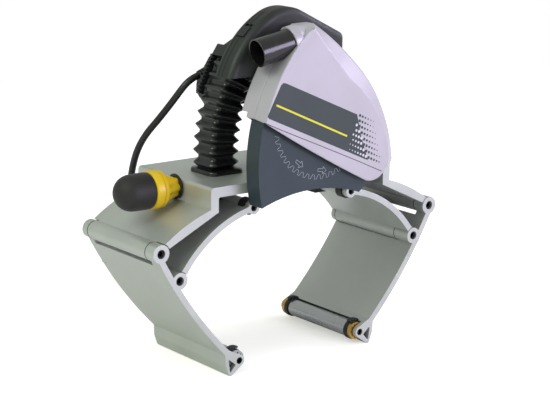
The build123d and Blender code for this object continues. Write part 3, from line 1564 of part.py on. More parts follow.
def make_cord_run():
    """Makes the free stretch of the cord as straight runs joined by tangent arcs."""
    points = cord_points()
    radii = corner_radii(points)
    print("cord radii", [round(radius) for radius in radii])
    return sweep_cord(FilletPolyline(*points, radius=radii), "cord run")


coil_wound_quarters = coil_layers * coil_layer_quarters + (coil_layers - 1) * coil_climb_quarters
coil_span = coil_pitch * coil_layer_quarters / 4
coil_outer_radius = coil_mid_radius + coil_span / 2
coil_inner_radius = coil_mid_radius - coil_span / 2
coil_floor_z = cord_route[-1][2]
coil_top_z = coil_floor_z + (coil_layers - 1) * coil_layer_rise
coil_turn_radius = coil_outer_radius / 2
coil_top_length = coil_turn_radius + pi * coil_turn_radius
plug_axis_z = coil_top_z + cord_radius + plug_radius + turn_gap


def ease(share):
    """Gives a smooth share from 0 to 1."""
    share = min(max(share, 0), 1)
    return share * share * (3 - 2 * share)


def coil_radius_at(quarter):
    """Gives the winding's radius after a number of quarter turns."""
    cycle = coil_layer_quarters + coil_climb_quarters
    layer = int(max(quarter, 0) // cycle)
    done = quarter - layer * cycle
    inwards = layer % 2 == 0
    if done <= coil_layer_quarters:
        moved = coil_pitch / 4 * done
        return coil_outer_radius - moved if inwards else coil_inner_radius + moved
    past = done - coil_layer_quarters
    swell = coil_pitch / 4 * (past - past * past / coil_climb_quarters)
    return coil_inner_radius - swell if inwards else coil_outer_radius + swell


def coil_height_at(quarter):
    """Gives the height of the winding's centre line after a number of quarter turns."""
    cycle = coil_layer_quarters + coil_climb_quarters
    layer = int(max(quarter, 0) // cycle)
    past = quarter - layer * cycle - coil_layer_quarters
    return coil_floor_z + coil_layer_rise * (layer + ease(past / coil_climb_quarters))


def coil_frame():
    """Gives the coil's centre and start angle, from the last run of the cord's route."""
    last, end = Vector(*cord_route[-2]), Vector(*cord_route[-1])
    along = (end - last).normalized()
    touch = end + along * (2 * cord_radius)
    centre = touch + Vector(-along.Y, along.X, 0) * coil_outer_radius
    return centre, degrees(atan2(along.Y, along.X)) - 90


def coil_point(quarter):
    """Gives a point on the winding's centre line."""
    centre, start_deg = coil_frame()
    x, y = polar(centre.X, centre.Y, coil_radius_at(quarter), start_deg + 90 * quarter)
    return Vector(x, y, coil_height_at(quarter))


def coil_tangent(quarter):
    """Gives the direction of the winding, square to its radius at both ends."""
    centre, start_deg = coil_frame()
    if quarter in (0, coil_wound_quarters):
        angle = radians(start_deg + 90 * quarter + 90)
        return Vector(cos(angle), sin(angle), 0)
    step = 1 / coil_sample_count
    return (coil_point(quarter + step) - coil_point(quarter - step)).normalized()


def coil_top_point(distance):
    """Gives a point of the cord's turn over the top of the coil, a distance past the winding."""
    centre, start_deg = coil_frame()
    end = radians(start_deg + 90 * coil_wound_quarters)
    out, forward = coil_outer_radius, min(max(distance, 0), coil_turn_radius)
    angle = max(distance - coil_turn_radius, 0) / coil_turn_radius
    out += coil_turn_radius * (cos(angle) - 1)
    forward += coil_turn_radius * sin(angle)
    height = coil_top_z + (plug_axis_z - coil_top_z) * ease(distance / coil_top_length)
    x = centre.X + out * cos(end) - forward * sin(end)
    y = centre.Y + out * sin(end) + forward * cos(end)
    return Vector(x, y, height)


def coil_top_tangent(distance):
    """Gives the direction of the cord's turn over the top of the coil."""
    if distance >= coil_top_length:
        return -coil_tangent(coil_wound_quarters)
    step = coil_top_length / coil_sample_count / coil_top_steps
    return (coil_top_point(distance + step) - coil_top_point(distance - step)).normalized()


def coil_stations():
    """Lists the points and directions that the arcs of the coil join."""
    stations = [(coil_point(quarter), coil_tangent(quarter)) for quarter in range(coil_wound_quarters + 1)]
    for step in range(1, coil_top_steps + 1):
        distance = coil_top_length * step / coil_top_steps
        stations.append((coil_top_point(distance), coil_top_tangent(distance)))
    return stations


def biarc(start, start_tangent, end, end_tangent):
    """Joins two points by two arcs with the given directions at their ends."""
    chord = end - start
    both = start_tangent + end_tangent
    across = 2 * (1 - start_tangent.dot(end_tangent))
    reach = (-chord.dot(both) + sqrt(chord.dot(both) ** 2 + across * chord.dot(chord))) / across
    middle = (start + end + (start_tangent - end_tangent) * reach) / 2
    middle_tangent = (end - end_tangent * reach - start - start_tangent * reach).normalized()
    return [
        TangentArc(start, middle, tangent=start_tangent),
        TangentArc(middle, end, tangent=middle_tangent),
    ]


def coil_least_gap(edges):
    """Measures the least gap between turns on points along the winding."""
    points = []
    for edge in edges:
        points += [edge @ (step / coil_sample_count * 4) for step in range(coil_sample_count // 4)]
    skip = coil_sample_count
    least = coil_outer_radius
    for index, point in enumerate(points):
        for other in points[index + skip:]:
            least = min(least, (other - point).length)
    return least - 2 * cord_radius


def make_cord_coil():
    """Makes the put-away coil as one tube wound in layers, with a turn over its top and straight ends."""
    stations = coil_stations()
    edges = []
    for before, after in zip(stations, stations[1:]):
        edges += biarc(*before, *after)
    first, last = stations[0], stations[-1]
    straight = 2 * cord_radius
    lead_in = Line(first[0] - first[1] * straight, first[0])
    lead_out = Line(last[0], last[0] + last[1] * straight)
    print("coil turns", coil_wound_quarters / 4, "least gap", round(coil_least_gap(edges), 2))
    return sweep_cord(Wire([lead_in] + edges + [lead_out]), "cord coil")


def plug_plane(distance):
    """Gives a cross plane of the plug at a distance from the coil's end."""
    end, along = coil_stations()[-1]
    place = end + along * (2 * cord_radius + distance)
    return Plane(place, x_dir=(along.Y, -along.X, 0), z_dir=along)


def make_plug():
    """Makes the two-pin plug that lies on top of the coil."""
    sleeve_end, body_start = Circle(boot_tip_radius), Circle(plug_radius)
    taper = loft([plug_plane(0) * sleeve_end, plug_plane(plug_taper_length) * body_start])
    plug = taper + extrude(plug_plane(plug_taper_length) * Circle(plug_radius), amount=plug_body_length)
    face = plug_taper_length + plug_body_length
    for side in (1, -1):
        pin = Pos(side * plug_pin_spacing / 2, 0) * Circle(plug_pin_radius)
        plug += extrude(plug_plane(face) * pin, amount=plug_pin_length)
    return plug


nodes = {}


def add(name, shape):
    """Keeps a finished piece under its node's name."""
    nodes[name] = shape


def build():
    """Makes every piece."""
    add("frame_profile", make_frame_profile())
    add("pivot_bracket", make_pivot_bracket())
    add("bracket_bolts", make_bracket_bolts())
    add("pivot_pin", make_pivot_pin())
    add("outer_hinge_pins", make_outer_hinge_pins())
    add("screw_bushes", make_screw_bushes())
    add("adjusting_screw", make_adjusting_screw())
    add("knob_hub", make_knob_hub())
    add("knob_ring", make_knob_ring())
    add("knob_grip", make_knob_grip())
    makers = {
        "nut_block": make_nut_block, "jaw": make_jaw, "inner_hinge_pin": make_inner_hinge_pin,
        "lower_axle": make_lower_axle, "roller_tube": make_roller_tube, "roller_rings": make_roller_rings,
        "roller_bushes": make_roller_bushes, "link": make_link, "upper_axle": make_upper_axle,
        "upper_rollers": make_upper_rollers,
    }
    for name, maker in makers.items():
        piece = maker()
        add("right_" + name, piece)
        add("left_" + name, mirrored(piece))
    add("blade", make_blade())
    add("blade_flanges", make_blade_flanges())
    add("blade_bolt", make_blade_bolt())
    add("spindle", make_spindle())
    add("spindle_gear", make_spindle_gear())
    add("intermediate_gears", make_intermediate_gears())
    add("armature_shaft", make_armature_shaft())
    add("armature_core", make_armature_core())
    add("stator", make_stator())
    add("brush_holders", make_brush_holders())
    add("bearings", make_bearings())
    add("gear_housing", make_gear_housing())
    add("motor_can", make_motor_can())
    add("motor_rear_cover", make_motor_rear_cover())
    add("guard_front_cover", make_guard_front_cover())
    add("guard_rear_shell", make_guard_rear_shell())
    add("guard_screws", make_guard_screws())
    add("dust_tube", make_dust_tube())
    add("lower_guard", make_lower_guard())
    add("handle_front", make_handle_front())
    add("handle_rear", make_handle_rear())
    add("power_switch", make_power_switch())
    add("trigger", make_trigger())
    add("lock_lever", make_lock_lever())
    add("bellows", make_bellows())
    add("plunge_spring", make_plunge_spring())
    add("cord_boot", make_cord_boot())
    add("cord_run", make_cord_run())
    add("cord_coil", make_cord_coil())
    add("plug", make_plug())


cord_nodes = ("cord_run", "cord_coil", "plug")


def origin_shift():
    """Gives the way from this model's origin to the middle of the object's underside."""
    boxes = [shape.bounding_box() for name, shape in nodes.items() if name not in cord_nodes]
    low_x, high_x = min(box.min.X for box in boxes), max(box.max.X for box in boxes)
    low_y, high_y = min(box.min.Y for box in boxes), max(box.max.Y for box in boxes)
    low_z = min(box.min.Z for box in boxes)
    return (-(low_x + high_x) / 2, -(low_y + high_y) / 2, -low_z)


build()
shift = origin_shift()
print("shift", [round(value, 3) for value in shift])
for name, shape in nodes.items():
    export_step(Pos(*shift) * shape, "parts/" + name + ".step")
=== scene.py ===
"""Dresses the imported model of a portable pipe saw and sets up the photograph's view."""

import json
import logging
import math
from dataclasses import dataclass, field
from enum import Enum
from typing import Dict, List, Optional, Sequence, Tuple

import bmesh
import bpy
from mathutils import Matrix, Vector

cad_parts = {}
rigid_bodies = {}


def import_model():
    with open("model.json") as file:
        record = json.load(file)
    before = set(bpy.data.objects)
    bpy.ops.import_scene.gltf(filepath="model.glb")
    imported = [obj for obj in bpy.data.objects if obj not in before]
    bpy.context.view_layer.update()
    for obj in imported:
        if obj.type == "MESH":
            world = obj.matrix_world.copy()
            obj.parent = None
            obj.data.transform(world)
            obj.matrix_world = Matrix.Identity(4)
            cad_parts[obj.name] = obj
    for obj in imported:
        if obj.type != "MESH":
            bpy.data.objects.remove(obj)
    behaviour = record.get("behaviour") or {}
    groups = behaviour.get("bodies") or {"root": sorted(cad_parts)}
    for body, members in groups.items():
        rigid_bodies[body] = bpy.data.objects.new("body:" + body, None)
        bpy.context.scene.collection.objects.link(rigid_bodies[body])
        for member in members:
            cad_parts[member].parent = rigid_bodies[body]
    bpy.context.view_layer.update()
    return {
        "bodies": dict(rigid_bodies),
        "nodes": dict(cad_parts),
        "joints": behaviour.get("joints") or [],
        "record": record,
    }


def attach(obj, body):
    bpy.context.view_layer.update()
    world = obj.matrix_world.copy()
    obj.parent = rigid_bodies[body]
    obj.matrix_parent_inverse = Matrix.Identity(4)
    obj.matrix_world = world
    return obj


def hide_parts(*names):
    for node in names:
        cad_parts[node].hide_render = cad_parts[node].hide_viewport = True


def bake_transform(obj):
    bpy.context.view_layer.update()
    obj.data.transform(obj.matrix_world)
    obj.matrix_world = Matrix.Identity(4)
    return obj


LOG = logging.getLogger("pipe_saw")
MM = 0.001
# From the machine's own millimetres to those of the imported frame.
SHIFT = Vector((2.2, -52.2, 0.0))
LEFTWARDS = Vector((-1, 0, 0))
# Edges sharper than these angles stay hard, from crisp strips to the folds of the bellows.
CRISP_DEG, PLAIN_DEG, MOULDED_DEG, RUBBER_DEG, FOLDED_DEG = 30.0, 40.0, 50.0, 60.0, 75.0
# How far inside its face a print starts, in millimetres, so that no gap shows under it.
PRINT_ROOT = 0.05

Point = Tuple[float, float, float]
Flat = Tuple[float, float]
Profile = Tuple[Flat, ...]


def at(x: float, y: float, z: float) -> Vector:
    """Turns a place in the machine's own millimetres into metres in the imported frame."""
    return (Vector((x, y, z)) + SHIFT) * MM


def linear(hex_colour: str) -> Tuple[float, float, float, float]:
    """Turns an sRGB hex colour into linear light, by the sRGB curve's own numbers.

    Args:
        hex_colour: Six hex digits, with or without a leading hash.

    Returns:
        Red, green, blue and an alpha of one.
    """
    digits = hex_colour.lstrip("#")
    shares = [int(digits[i : i + 2], 16) / 255 for i in (0, 2, 4)]
    light = [s / 12.92 if s <= 0.04045 else ((s + 0.055) / 1.055) ** 2.4 for s in shares]
    return (light[0], light[1], light[2], 1.0)


def add_node(
    tree: bpy.types.NodeTree,
    kind: str,
    settings: Optional[Dict[str, object]] = None,
    **inputs: object,
) -> bpy.types.Node:
    """Adds one shader node, sets it up and links it.

    Args:
        tree: The node tree to add to.
        kind: The node's class name without its ShaderNode prefix.
        settings: Properties of the node itself.
        **inputs: Values or output sockets for its inputs, with underscores for spaces. A
            trailing number, as in A_6, picks that input by its place.

    Returns:
        The new node.
    """
    node = tree.nodes.new("ShaderNode" + kind)
    for name, value in (settings or {}).items():
        setattr(node, name, value)
    for name, value in inputs.items():
        last = name.rsplit("_", 1)[-1]
        socket = node.inputs[int(last)] if last.isdigit() else node.inputs[name.replace("_", " ")]
        if isinstance(value, bpy.types.NodeSocket):
            tree.links.new(value, socket)
        else:
            socket.default_value = value
    return node


def add_object(name: str, data: bpy.types.ID) -> bpy.types.Object:
    """Puts new data into the scene.

    Args:
        name: The object's name.
        data: Its mesh, curve, camera or light.

    Returns:
        The new object.
    """
    thing = bpy.data.objects.new(name, data)
    bpy.context.scene.collection.objects.link(thing)
    return thing


def smooth(mesh: bpy.types.Mesh, sharp_deg: float) -> None:
    """Shades a mesh smooth and keeps edges sharper than an angle hard."""
    mesh.polygons.foreach_set("use_smooth", [True] * len(mesh.polygons))
    mesh.set_sharp_from_angle(angle=math.radians(sharp_deg))


class Texture(Enum):
    """How a surface was left by its making."""

    MOULDED = "moulded"
    BLASTED = "blasted"
    EXTRUDED = "extruded"
    TURNED = "turned"
    POLISHED = "polished"


# Colour and gloss drift slowly over a surface, in clouds of this width.
CLOUD_MM = 38
# Nearly all of the noise lies between these, so they become the two ends of the drift.
NOISE_LOW, NOISE_HIGH = 0.3, 0.7
# How far the roughness drifts to either side, and the least that it may be.
GLOSSIER, DULLER, SMOOTHEST = 0.06, 0.07, 0.03
# Length of the grain along its axis, in widths: long lines on an extrusion, short marks that
# lie round a turned piece.
LINE_LENGTH = {Texture.EXTRUDED: 60, Texture.TURNED: 0.6}
# A polished surface only waves a little, this much wider than its grain.
POLISHED_SPREAD = 6
# Cosine between the true and the softened normal where wear begins and is full, and its share.
WEAR_BEGINS, WEAR_FULL, WEAR_SHARE = 0.985, 0.8, 0.55
# The lighter shade is lifted by at least this much light, so that it shows on black too.
LEAST_LIFT = 0.002
COAT_ROUGHNESS = 0.15
SHEEN_ROUGHNESS = 0.4


@dataclass(frozen=True)
class Finish:
    """One real surface: what it is made of, how it was made and how it has worn."""

    name: str
    colour: str
    roughness: float
    texture: Texture = Texture.MOULDED
    metallic: float = 0.0
    ior: float = 1.5
    # Share by which the colour drifts to either side.
    shade: float = 0.06
    grain_mm: float = 1.2
    grain_depth_mm: float = 0.03
    edge_mm: float = 0.5
    worn_colour: str = ""
    coat: float = 0.0
    sheen: float = 0.0
    # Axis of the extrusion or of the turning: 0, 1 or 2 for x, y or z.
    axis: int = 1

    def build(self) -> bpy.types.Material:
        """Makes the material with its colour variation, surface grain and softened edges.

        Returns:
            The new material.
        """
        material = bpy.data.materials.new(self.name)
        material.use_nodes = True
        tree = material.node_tree
        tree.nodes.clear()
        place = add_node(tree, "TexCoord").outputs["Object"]
        wide = 1 / (CLOUD_MM * MM)
        cloud = add_node(tree, "TexNoise", Vector=place, Scale=wide, Detail=3.0, Roughness=0.55)
        colour = self._colour(tree, cloud.outputs["Fac"])
        grain = self._grain(tree, place)
        softened = add_node(tree, "Bevel", {"samples": 4}, Radius=self.edge_mm * MM)
        bump = add_node(
            tree,
            "Bump",
            Strength=1.0,
            Distance=self.grain_depth_mm * MM,
            Height=grain,
            Normal=softened.outputs["Normal"],
        )
        rough = add_node(
            tree,
            "MapRange",
            Value=cloud.outputs["Fac"],
            From_Min=NOISE_LOW,
            From_Max=NOISE_HIGH,
            To_Min=max(self.roughness - GLOSSIER, SMOOTHEST),
            To_Max=min(self.roughness + DULLER, 1.0),
        )
        shader = add_node(
            tree,
            "BsdfPrincipled",
            Metallic=self.metallic,
            Roughness=rough.outputs["Result"],
            Normal=bump.outputs["Normal"],
            IOR=self.ior,
            Coat_Weight=self.coat,
            Coat_Roughness=COAT_ROUGHNESS,
            Sheen_Weight=self.sheen,
            Sheen_Roughness=SHEEN_ROUGHNESS,
        )
        worn = self._worn(tree, colour, softened.outputs["Normal"])
        tree.links.new(worn, shader.inputs["Base Color"])
        out = add_node(tree, "OutputMaterial")
        tree.links.new(shader.outputs["BSDF"], out.inputs["Surface"])
        return material

    def _colour(
        self, tree: bpy.types.NodeTree, cloud: bpy.types.NodeSocket
    ) -> bpy.types.NodeSocket:
        """Mixes a darker and a lighter shade of the colour.

        Args:
            tree: The material's node tree.
            cloud: A slow noise from 0 to 1.

        Returns:
            The mixed colour.
        """
        base = linear(self.colour)
        dark = tuple(c * (1 - self.shade) for c in base[:3]) + (1.0,)
        light = tuple(min(c * (1 + self.shade) + LEAST_LIFT, 1.0) for c in base[:3]) + (1.0,)
        share = add_node(tree, "MapRange", Value=cloud, From_Min=NOISE_LOW, From_Max=NOISE_HIGH)
        mix = add_node(
            tree,
            "Mix",
            {"data_type": "RGBA"},
            Factor=share.outputs["Result"],
            A_6=dark,
            B_7=light,
        )
        return mix.outputs[2]

    def _grain(
        self, tree: bpy.types.NodeTree, place: bpy.types.NodeSocket
    ) -> bpy.types.NodeSocket:
        """Makes the height of the surface's grain from its width in millimetres.

        Args:
            tree: The material's node tree.
            place: Object coordinates in metres.

        Returns:
            A height from 0 to 1.
        """
        fine = 1 / (self.grain_mm * MM)
        if self.texture in LINE_LENGTH:
            scale = [fine, fine, fine]
            scale[self.axis] = fine / LINE_LENGTH[self.texture]
            drawn = add_node(tree, "Mapping", Vector=place, Scale=tuple(scale)).outputs["Vector"]
            lines = add_node(tree, "TexNoise", Vector=drawn, Scale=1.0, Detail=4.0, Roughness=0.6)
            return lines.outputs["Fac"]
        if self.texture is Texture.POLISHED:
            waves = add_node(
                tree, "TexNoise", Vector=place, Scale=fine / POLISHED_SPREAD, Detail=1.0
            )
            return waves.outputs["Fac"]
        kind = "TexNoise" if self.texture is Texture.BLASTED else "TexVoronoi"
        grain = add_node(tree, kind, Vector=place, Scale=fine)
        return grain.outputs["Fac" if kind == "TexNoise" else "Distance"]

    def _worn(
        self,
        tree: bpy.types.NodeTree,
        colour: bpy.types.NodeSocket,
        softened: bpy.types.NodeSocket,
    ) -> bpy.types.NodeSocket:
        """Lightens the edges where hands and pipes rub.

        Args:
            tree: The material's node tree.
            colour: The surface's own colour.
            softened: The rounded normal, which leaves the true normal at edges.

        Returns:
            The colour with its worn edges.
        """
        if not self.worn_colour:
            return colour
        facing = add_node(
            tree,
            "VectorMath",
            {"operation": "DOT_PRODUCT"},
            Vector_0=softened,
            Vector_1=add_node(tree, "NewGeometry").outputs["True Normal"],
        )
        edge = add_node(
            tree,
            "MapRange",
            Value=facing.outputs["Value"],
            From_Min=WEAR_BEGINS,
            From_Max=WEAR_FULL,
            To_Min=0.0,
            To_Max=WEAR_SHARE,
        )
        mix = add_node(
            tree,
            "Mix",
            {"data_type": "RGBA"},
            Factor=edge.outputs["Result"],
            A_6=colour,
            B_7=linear(self.worn_colour),
        )
        return mix.outputs[2]


# The orange peel of a powder coat is drawn at its real width of 1.6 mm. Turning marks, the
# lines of an extrusion and the grain of mouldings and rubber are really 0.1 to 0.3 mm wide,
# too fine to show in the render, and are drawn two to five times as coarse.

# Anodised aluminium, extruded: a soft pale grey with faint lines along the extrusion.
ANODISED = Finish(
    "anodised_aluminium_extruded",
    "#BFC2BE",
    0.44,
    Texture.EXTRUDED,
    metallic=0.6,
    grain_mm=0.5,
    grain_depth_mm=0.012,
    edge_mm=0.8,
    worn_colour="#C9CCC9",
    shade=0.04,
)
# Machined aluminium of the pivot bracket: bare metal, darker, with a fine even grain.
MACHINED = Finish(
    "aluminium_machined",
    "#9A9C9A",
    0.38,
    Texture.BLASTED,
    metallic=0.9,
    grain_mm=0.7,
    grain_depth_mm=0.02,
    edge_mm=0.5,
    worn_colour="#C4C6C4",
)
# Turned steel: bright, with fine marks round it.
TURNED_STEEL = Finish(
    "steel_turned",
    "#B4B6B8",
    0.25,
    Texture.TURNED,
    metallic=1.0,
    grain_mm=0.45,
    grain_depth_mm=0.012,
    edge_mm=0.3,
    shade=0.05,
)
# Oiled steel of the screw, the gears and the spring: greyer.
OILED_STEEL = Finish(
    "steel_oiled",
    "#7F8183",
    0.34,
    Texture.TURNED,
    metallic=1.0,
    grain_mm=0.6,
    grain_depth_mm=0.02,
    edge_mm=0.3,
    axis=0,
)
# Blackened steel of the pins and axles: near black with worn grey edges.
BLACKENED_STEEL = Finish(
    "steel_blackened",
    "#2B2C2E",
    0.42,
    Texture.BLASTED,
    metallic=0.85,
    grain_mm=0.8,
    grain_depth_mm=0.02,
    worn_colour="#6C6E70",
)
# Ground blade steel: satin grey with fine marks.
BLADE_STEEL = Finish(
    "steel_ground",
    "#8F9397",
    0.3,
    Texture.TURNED,
    metallic=1.0,
    grain_mm=0.35,
    grain_depth_mm=0.01,
    edge_mm=0.2,
)
# Turned brass of the bushes and the plug's pins: warm yellow.
BRASS = Finish(
    "brass_turned",
    "#C9A45C",
    0.28,
    Texture.TURNED,
    metallic=1.0,
    grain_mm=0.5,
    grain_depth_mm=0.012,
    edge_mm=0.25,
)
# Silver powder coat of the upper guard: satin lilac grey with a fine orange peel.
SILVER_COAT = Finish(
    "powder_coat_silver",
    "#BBB6BF",
    0.4,
    Texture.BLASTED,
    metallic=0.25,
    grain_mm=1.6,
    grain_depth_mm=0.012,
    edge_mm=2.6,
    coat=0.15,
    shade=0.03,
    worn_colour="#CFCBD8",
)
# Slate powder coat of the swinging guard: dark blue grey with a fine orange peel.
SLATE_COAT = Finish(
    "powder_coat_slate",
    "#27353E",
    0.42,
    Texture.BLASTED,
    metallic=0.1,
    grain_mm=1.6,
    grain_depth_mm=0.012,
    edge_mm=1.6,
    coat=0.1,
    shade=0.05,
    worn_colour="#3B4A50",
)
# Glass-filled nylon of the housings: charcoal with the grain of a spark-eroded mould.
NYLON = Finish(
    "nylon_glass_filled",
    "#1D211F",
    0.5,
    grain_mm=0.9,
    edge_mm=1.2,
    worn_colour="#2B302D",
)
# Black nylon of the small controls, the clips and the plug.
BLACK_NYLON = Finish(
    "nylon_black",
    "#17181A",
    0.45,
    grain_mm=0.8,
    grain_depth_mm=0.02,
    edge_mm=0.6,
)
# Yellow nylon of the clamp knob: saturated and slightly waxy.
YELLOW_NYLON = Finish(
    "nylon_yellow",
    "#E0BC10",
    0.36,
    grain_mm=0.9,
    grain_depth_mm=0.015,
    edge_mm=0.7,
    coat=0.1,
    shade=0.03,
)
# Polished black polypropylene of the dust tube: long soft reflections.
GLOSS_BLACK = Finish(
    "polypropylene_polished",
    "#171416",
    0.2,
    Texture.POLISHED,
    grain_depth_mm=0.01,
    edge_mm=0.6,
    coat=0.3,
)
# Natural rubber of the bellows: black with a wet-looking skin on its folds.
BELLOWS_RUBBER = Finish(
    "rubber_bellows",
    "#101113",
    0.3,
    Texture.POLISHED,
    grain_mm=1.4,
    edge_mm=0.4,
    coat=0.25,
)
# Soft-touch rubber of the grip: warm black and matt.
GRIP_RUBBER = Finish(
    "rubber_soft_touch",
    "#1B1817",
    0.62,
    Texture.BLASTED,
    grain_mm=0.7,
    edge_mm=0.8,
    sheen=0.12,
)
# Rubber of the rings and rollers: black and dull.
RING_RUBBER = Finish(
    "rubber_rings",
    "#141414",
    0.5,
    Texture.BLASTED,
    grain_mm=0.8,
    grain_depth_mm=0.02,
    edge_mm=0.4,
)
# PVC jacket of the mains lead: black, smooth and slightly shiny.
CORD_PVC = Finish(
    "pvc_cord_jacket",
    "#141416",
    0.36,
    Texture.POLISHED,
    grain_depth_mm=0.02,
    edge_mm=0.2,
)
# Lacquered windings and cores: a coppery brown, out of sight.
WINDINGS = Finish(
    "core_lacquered",
    "#6E3F22",
    0.4,
    Texture.TURNED,
    metallic=0.6,
    grain_mm=0.9,
    grain_depth_mm=0.05,
    edge_mm=0.3,
)
# Charcoal print on the guard: follows the orange peel under it.
PRINT_GREY = Finish(
    "print_charcoal",
    "#323B3D",
    0.42,
    Texture.BLASTED,
    grain_mm=1.6,
    grain_depth_mm=0.008,
    edge_mm=0.1,
    shade=0.03,
)
# Yellow print of the thin line.
PRINT_YELLOW = Finish(
    "print_yellow",
    "#DDD52C",
    0.4,
    Texture.BLASTED,
    grain_mm=1.6,
    grain_depth_mm=0.006,
    edge_mm=0.1,
    shade=0.02,
)
# Pale print of the dots on the panel.
PRINT_PALE = Finish(
    "print_pale",
    "#D3D0DA",
    0.42,
    Texture.BLASTED,
    grain_mm=1.6,
    grain_depth_mm=0.006,
    edge_mm=0.1,
    shade=0.02,
)
# Fine grey print of the blade's picture on the swinging guard.
PRINT_LINE = Finish(
    "print_line",
    "#A9B2B8",
    0.45,
    Texture.BLASTED,
    grain_mm=1.6,
    grain_depth_mm=0.006,
    edge_mm=0.1,
    shade=0.02,
)
# Painted shadow in the gaps between mouldings, beside the handle's ridge and along the guard's
# step: a dull near black.
PAINTED_GAP_SHADE = Finish(
    "seam_shadow",
    "#1A1B1C",
    0.7,
    Texture.BLASTED,
    grain_mm=1.0,
    grain_depth_mm=0.01,
    edge_mm=0.1,
)


@dataclass
class Shop:
    """Keeps the finished materials and makes pieces out of meshes."""

    frame: Dict[str, object]
    materials: Dict[str, bpy.types.Material] = field(default_factory=dict)

    def material(self, finish: Finish) -> bpy.types.Material:
        """Gives the material of a finish, made once.

        Args:
            finish: The surface wanted.

        Returns:
            Its material.
        """
        if finish.name not in self.materials:
            self.materials[finish.name] = finish.build()
        return self.materials[finish.name]

    def dress(self, finish: Finish, *nodes: str) -> None:
        """Gives CAD nodes a finish.

        Args:
            finish: The surface to use.
            *nodes: Names of the nodes.
        """
        for name in nodes:
            piece = self.frame["nodes"][name]
            piece.data.materials.clear()
            piece.data.materials.append(self.material(finish))
            LOG.info("%s dressed in %s", name, finish.name)

    def keep(
        self,
        name: str,
        mesh: bpy.types.Mesh,
        finish: Finish,
        body: str,
        smooth_deg: float = PLAIN_DEG,
    ) -> bpy.types.Object:
        """Makes a mesh into a finished piece that moves with a body.

        Args:
            name: The piece's name.
            mesh: Its mesh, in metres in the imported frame.
            finish: Its surface.
            body: The CAD body that it rides on.
            smooth_deg: Edges sharper than this stay hard.

        Returns:
            The new object.
        """
        piece = add_object(name, mesh)
        mesh.materials.append(self.material(finish))
        smooth(mesh, smooth_deg)
        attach(piece, body)
        LOG.info("%s made with %d faces", name, len(mesh.polygons))
        return piece


def skin(
    name: str,
    rings: Sequence[Sequence[Vector]],
    capped: bool = True,
    closed: bool = False,
) -> bpy.types.Mesh:
    """Joins rings of points into a skin.

    Args:
        name: The mesh's name.
        rings: Rings with the same number of points.
        capped: Whether the first and last ring are filled.
        closed: Whether the last ring joins the first.

    Returns:
        The mesh.
    """
    count, around = len(rings), len(rings[0])
    points = [tuple(point) for ring in rings for point in ring]
    faces: List[Tuple[int, ...]] = []
    for row in range(count if closed else count - 1):
        for step in range(around):
            a, b = row * around + step, row * around + (step + 1) % around
            lift = ((row + 1) % count) * around
            faces.append((a, b, lift + (step + 1) % around, lift + step))
    if capped and not closed:
        faces.append(tuple(reversed(range(around))))
        faces.append(tuple((count - 1) * around + step for step in range(around)))
    mesh = bpy.data.meshes.new(name)
    mesh.from_pydata(points, [], faces)
    mesh.validate()
    work = bmesh.new()
    work.from_mesh(mesh)
    bmesh.ops.recalc_face_normals(work, faces=work.faces)
    work.to_mesh(mesh)
    work.free()
    return mesh


def circle(steps: int) -> List[Flat]:
    """Gives the cosines and sines of angles spread evenly round a circle."""
    angles = [2 * math.pi * step / steps for step in range(steps)]
    return [(math.cos(angle), math.sin(angle)) for angle in angles]


def turned(
    name: str, centre: Vector, axis: Vector, profile: Sequence[Flat], steps: int
) -> bpy.types.Mesh:
    """Turns a profile round an axis.

    Args:
        name: The mesh's name.
        centre: The axis's start.
        axis: The axis's direction.
        profile: Distances along the axis and radii, in millimetres.
        steps: Points round the axis.

    Returns:
        The mesh.
    """
    along = axis.normalized()
    side = along.orthogonal().normalized()
    other = along.cross(side)
    rings = [
        [centre + (along * reach + (side * c + other * s) * radius) * MM for c, s in circle(steps)]
        for reach, radius in profile
    ]
    return skin(name, rings)


def decal(name: str, outline: Sequence[Flat], y: float, lift: float) -> bpy.types.Mesh:
    """Makes a thin patch on a face of constant y, for print and for painted shade.

    Args:
        name: The mesh's name.
        outline: Points in x and z, in the machine's millimetres.
        y: The face's y.
        lift: How far the patch stands out towards the front.

    Returns:
        The mesh.
    """
    rings = [[at(x, depth, z) for x, z in outline] for depth in (y + PRINT_ROOT, y - lift)]
    return skin(name, rings)


def ribbon(path: Sequence[Flat], width: float) -> List[Flat]:
    """Widens a line into an outline.

    Args:
        path: Points of the line.
        width: Its width.

    Returns:
        The outline, down one side and back up the other.
    """
    left: List[Flat] = []
    right: List[Flat] = []
    for index, point in enumerate(path):
        before = Vector(path[max(index - 1, 0)])
        after = Vector(path[min(index + 1, len(path) - 1)])
        run = (after - before).normalized()
        side = Vector((-run.y, run.x)) * (width / 2)
        left.append((point[0] + side.x, point[1] + side.y))
        right.append((point[0] - side.x, point[1] - side.y))
    return left + right[::-1]


@dataclass(frozen=True)
class Ribs:
    """A row of ribs along a turned moulding, in millimetres."""

    count: int
    start: float
    pitch: float
    radius: float
    growth: float
    shape: Profile

    def profile(self) -> List[Flat]:
        """Gives the ribs as a profile to turn.

        Returns:
            Distances along the axis and radii.
        """
        points: List[Flat] = []
        for index in range(self.count):
            base = self.start + self.pitch * index
            wide = self.radius + index * self.growth
            points += [(base + along, wide + out) for along, out in self.shape]
        return points


@dataclass(frozen=True)
class Lamp:
    """One square soft box: where it hangs and its side in metres, its watts and its colour."""

    name: str
    place: Point
    size: float
    power: float
    colour: str

    def hang(self, target: Point) -> None:
        """Hangs the soft box and aims it.

        Args:
            target: The point that it is aimed at.
        """
        data = bpy.data.lights.new(self.name, "AREA")
        data.shape = "SQUARE"
        data.size = self.size
        data.energy = self.power
        data.color = linear(self.colour)[:3]
        turn = (Vector(target) - Vector(self.place)).to_track_quat("-Z", "Y").to_matrix().to_4x4()
        add_object(self.name, data).matrix_world = Matrix.Translation(self.place) @ turn


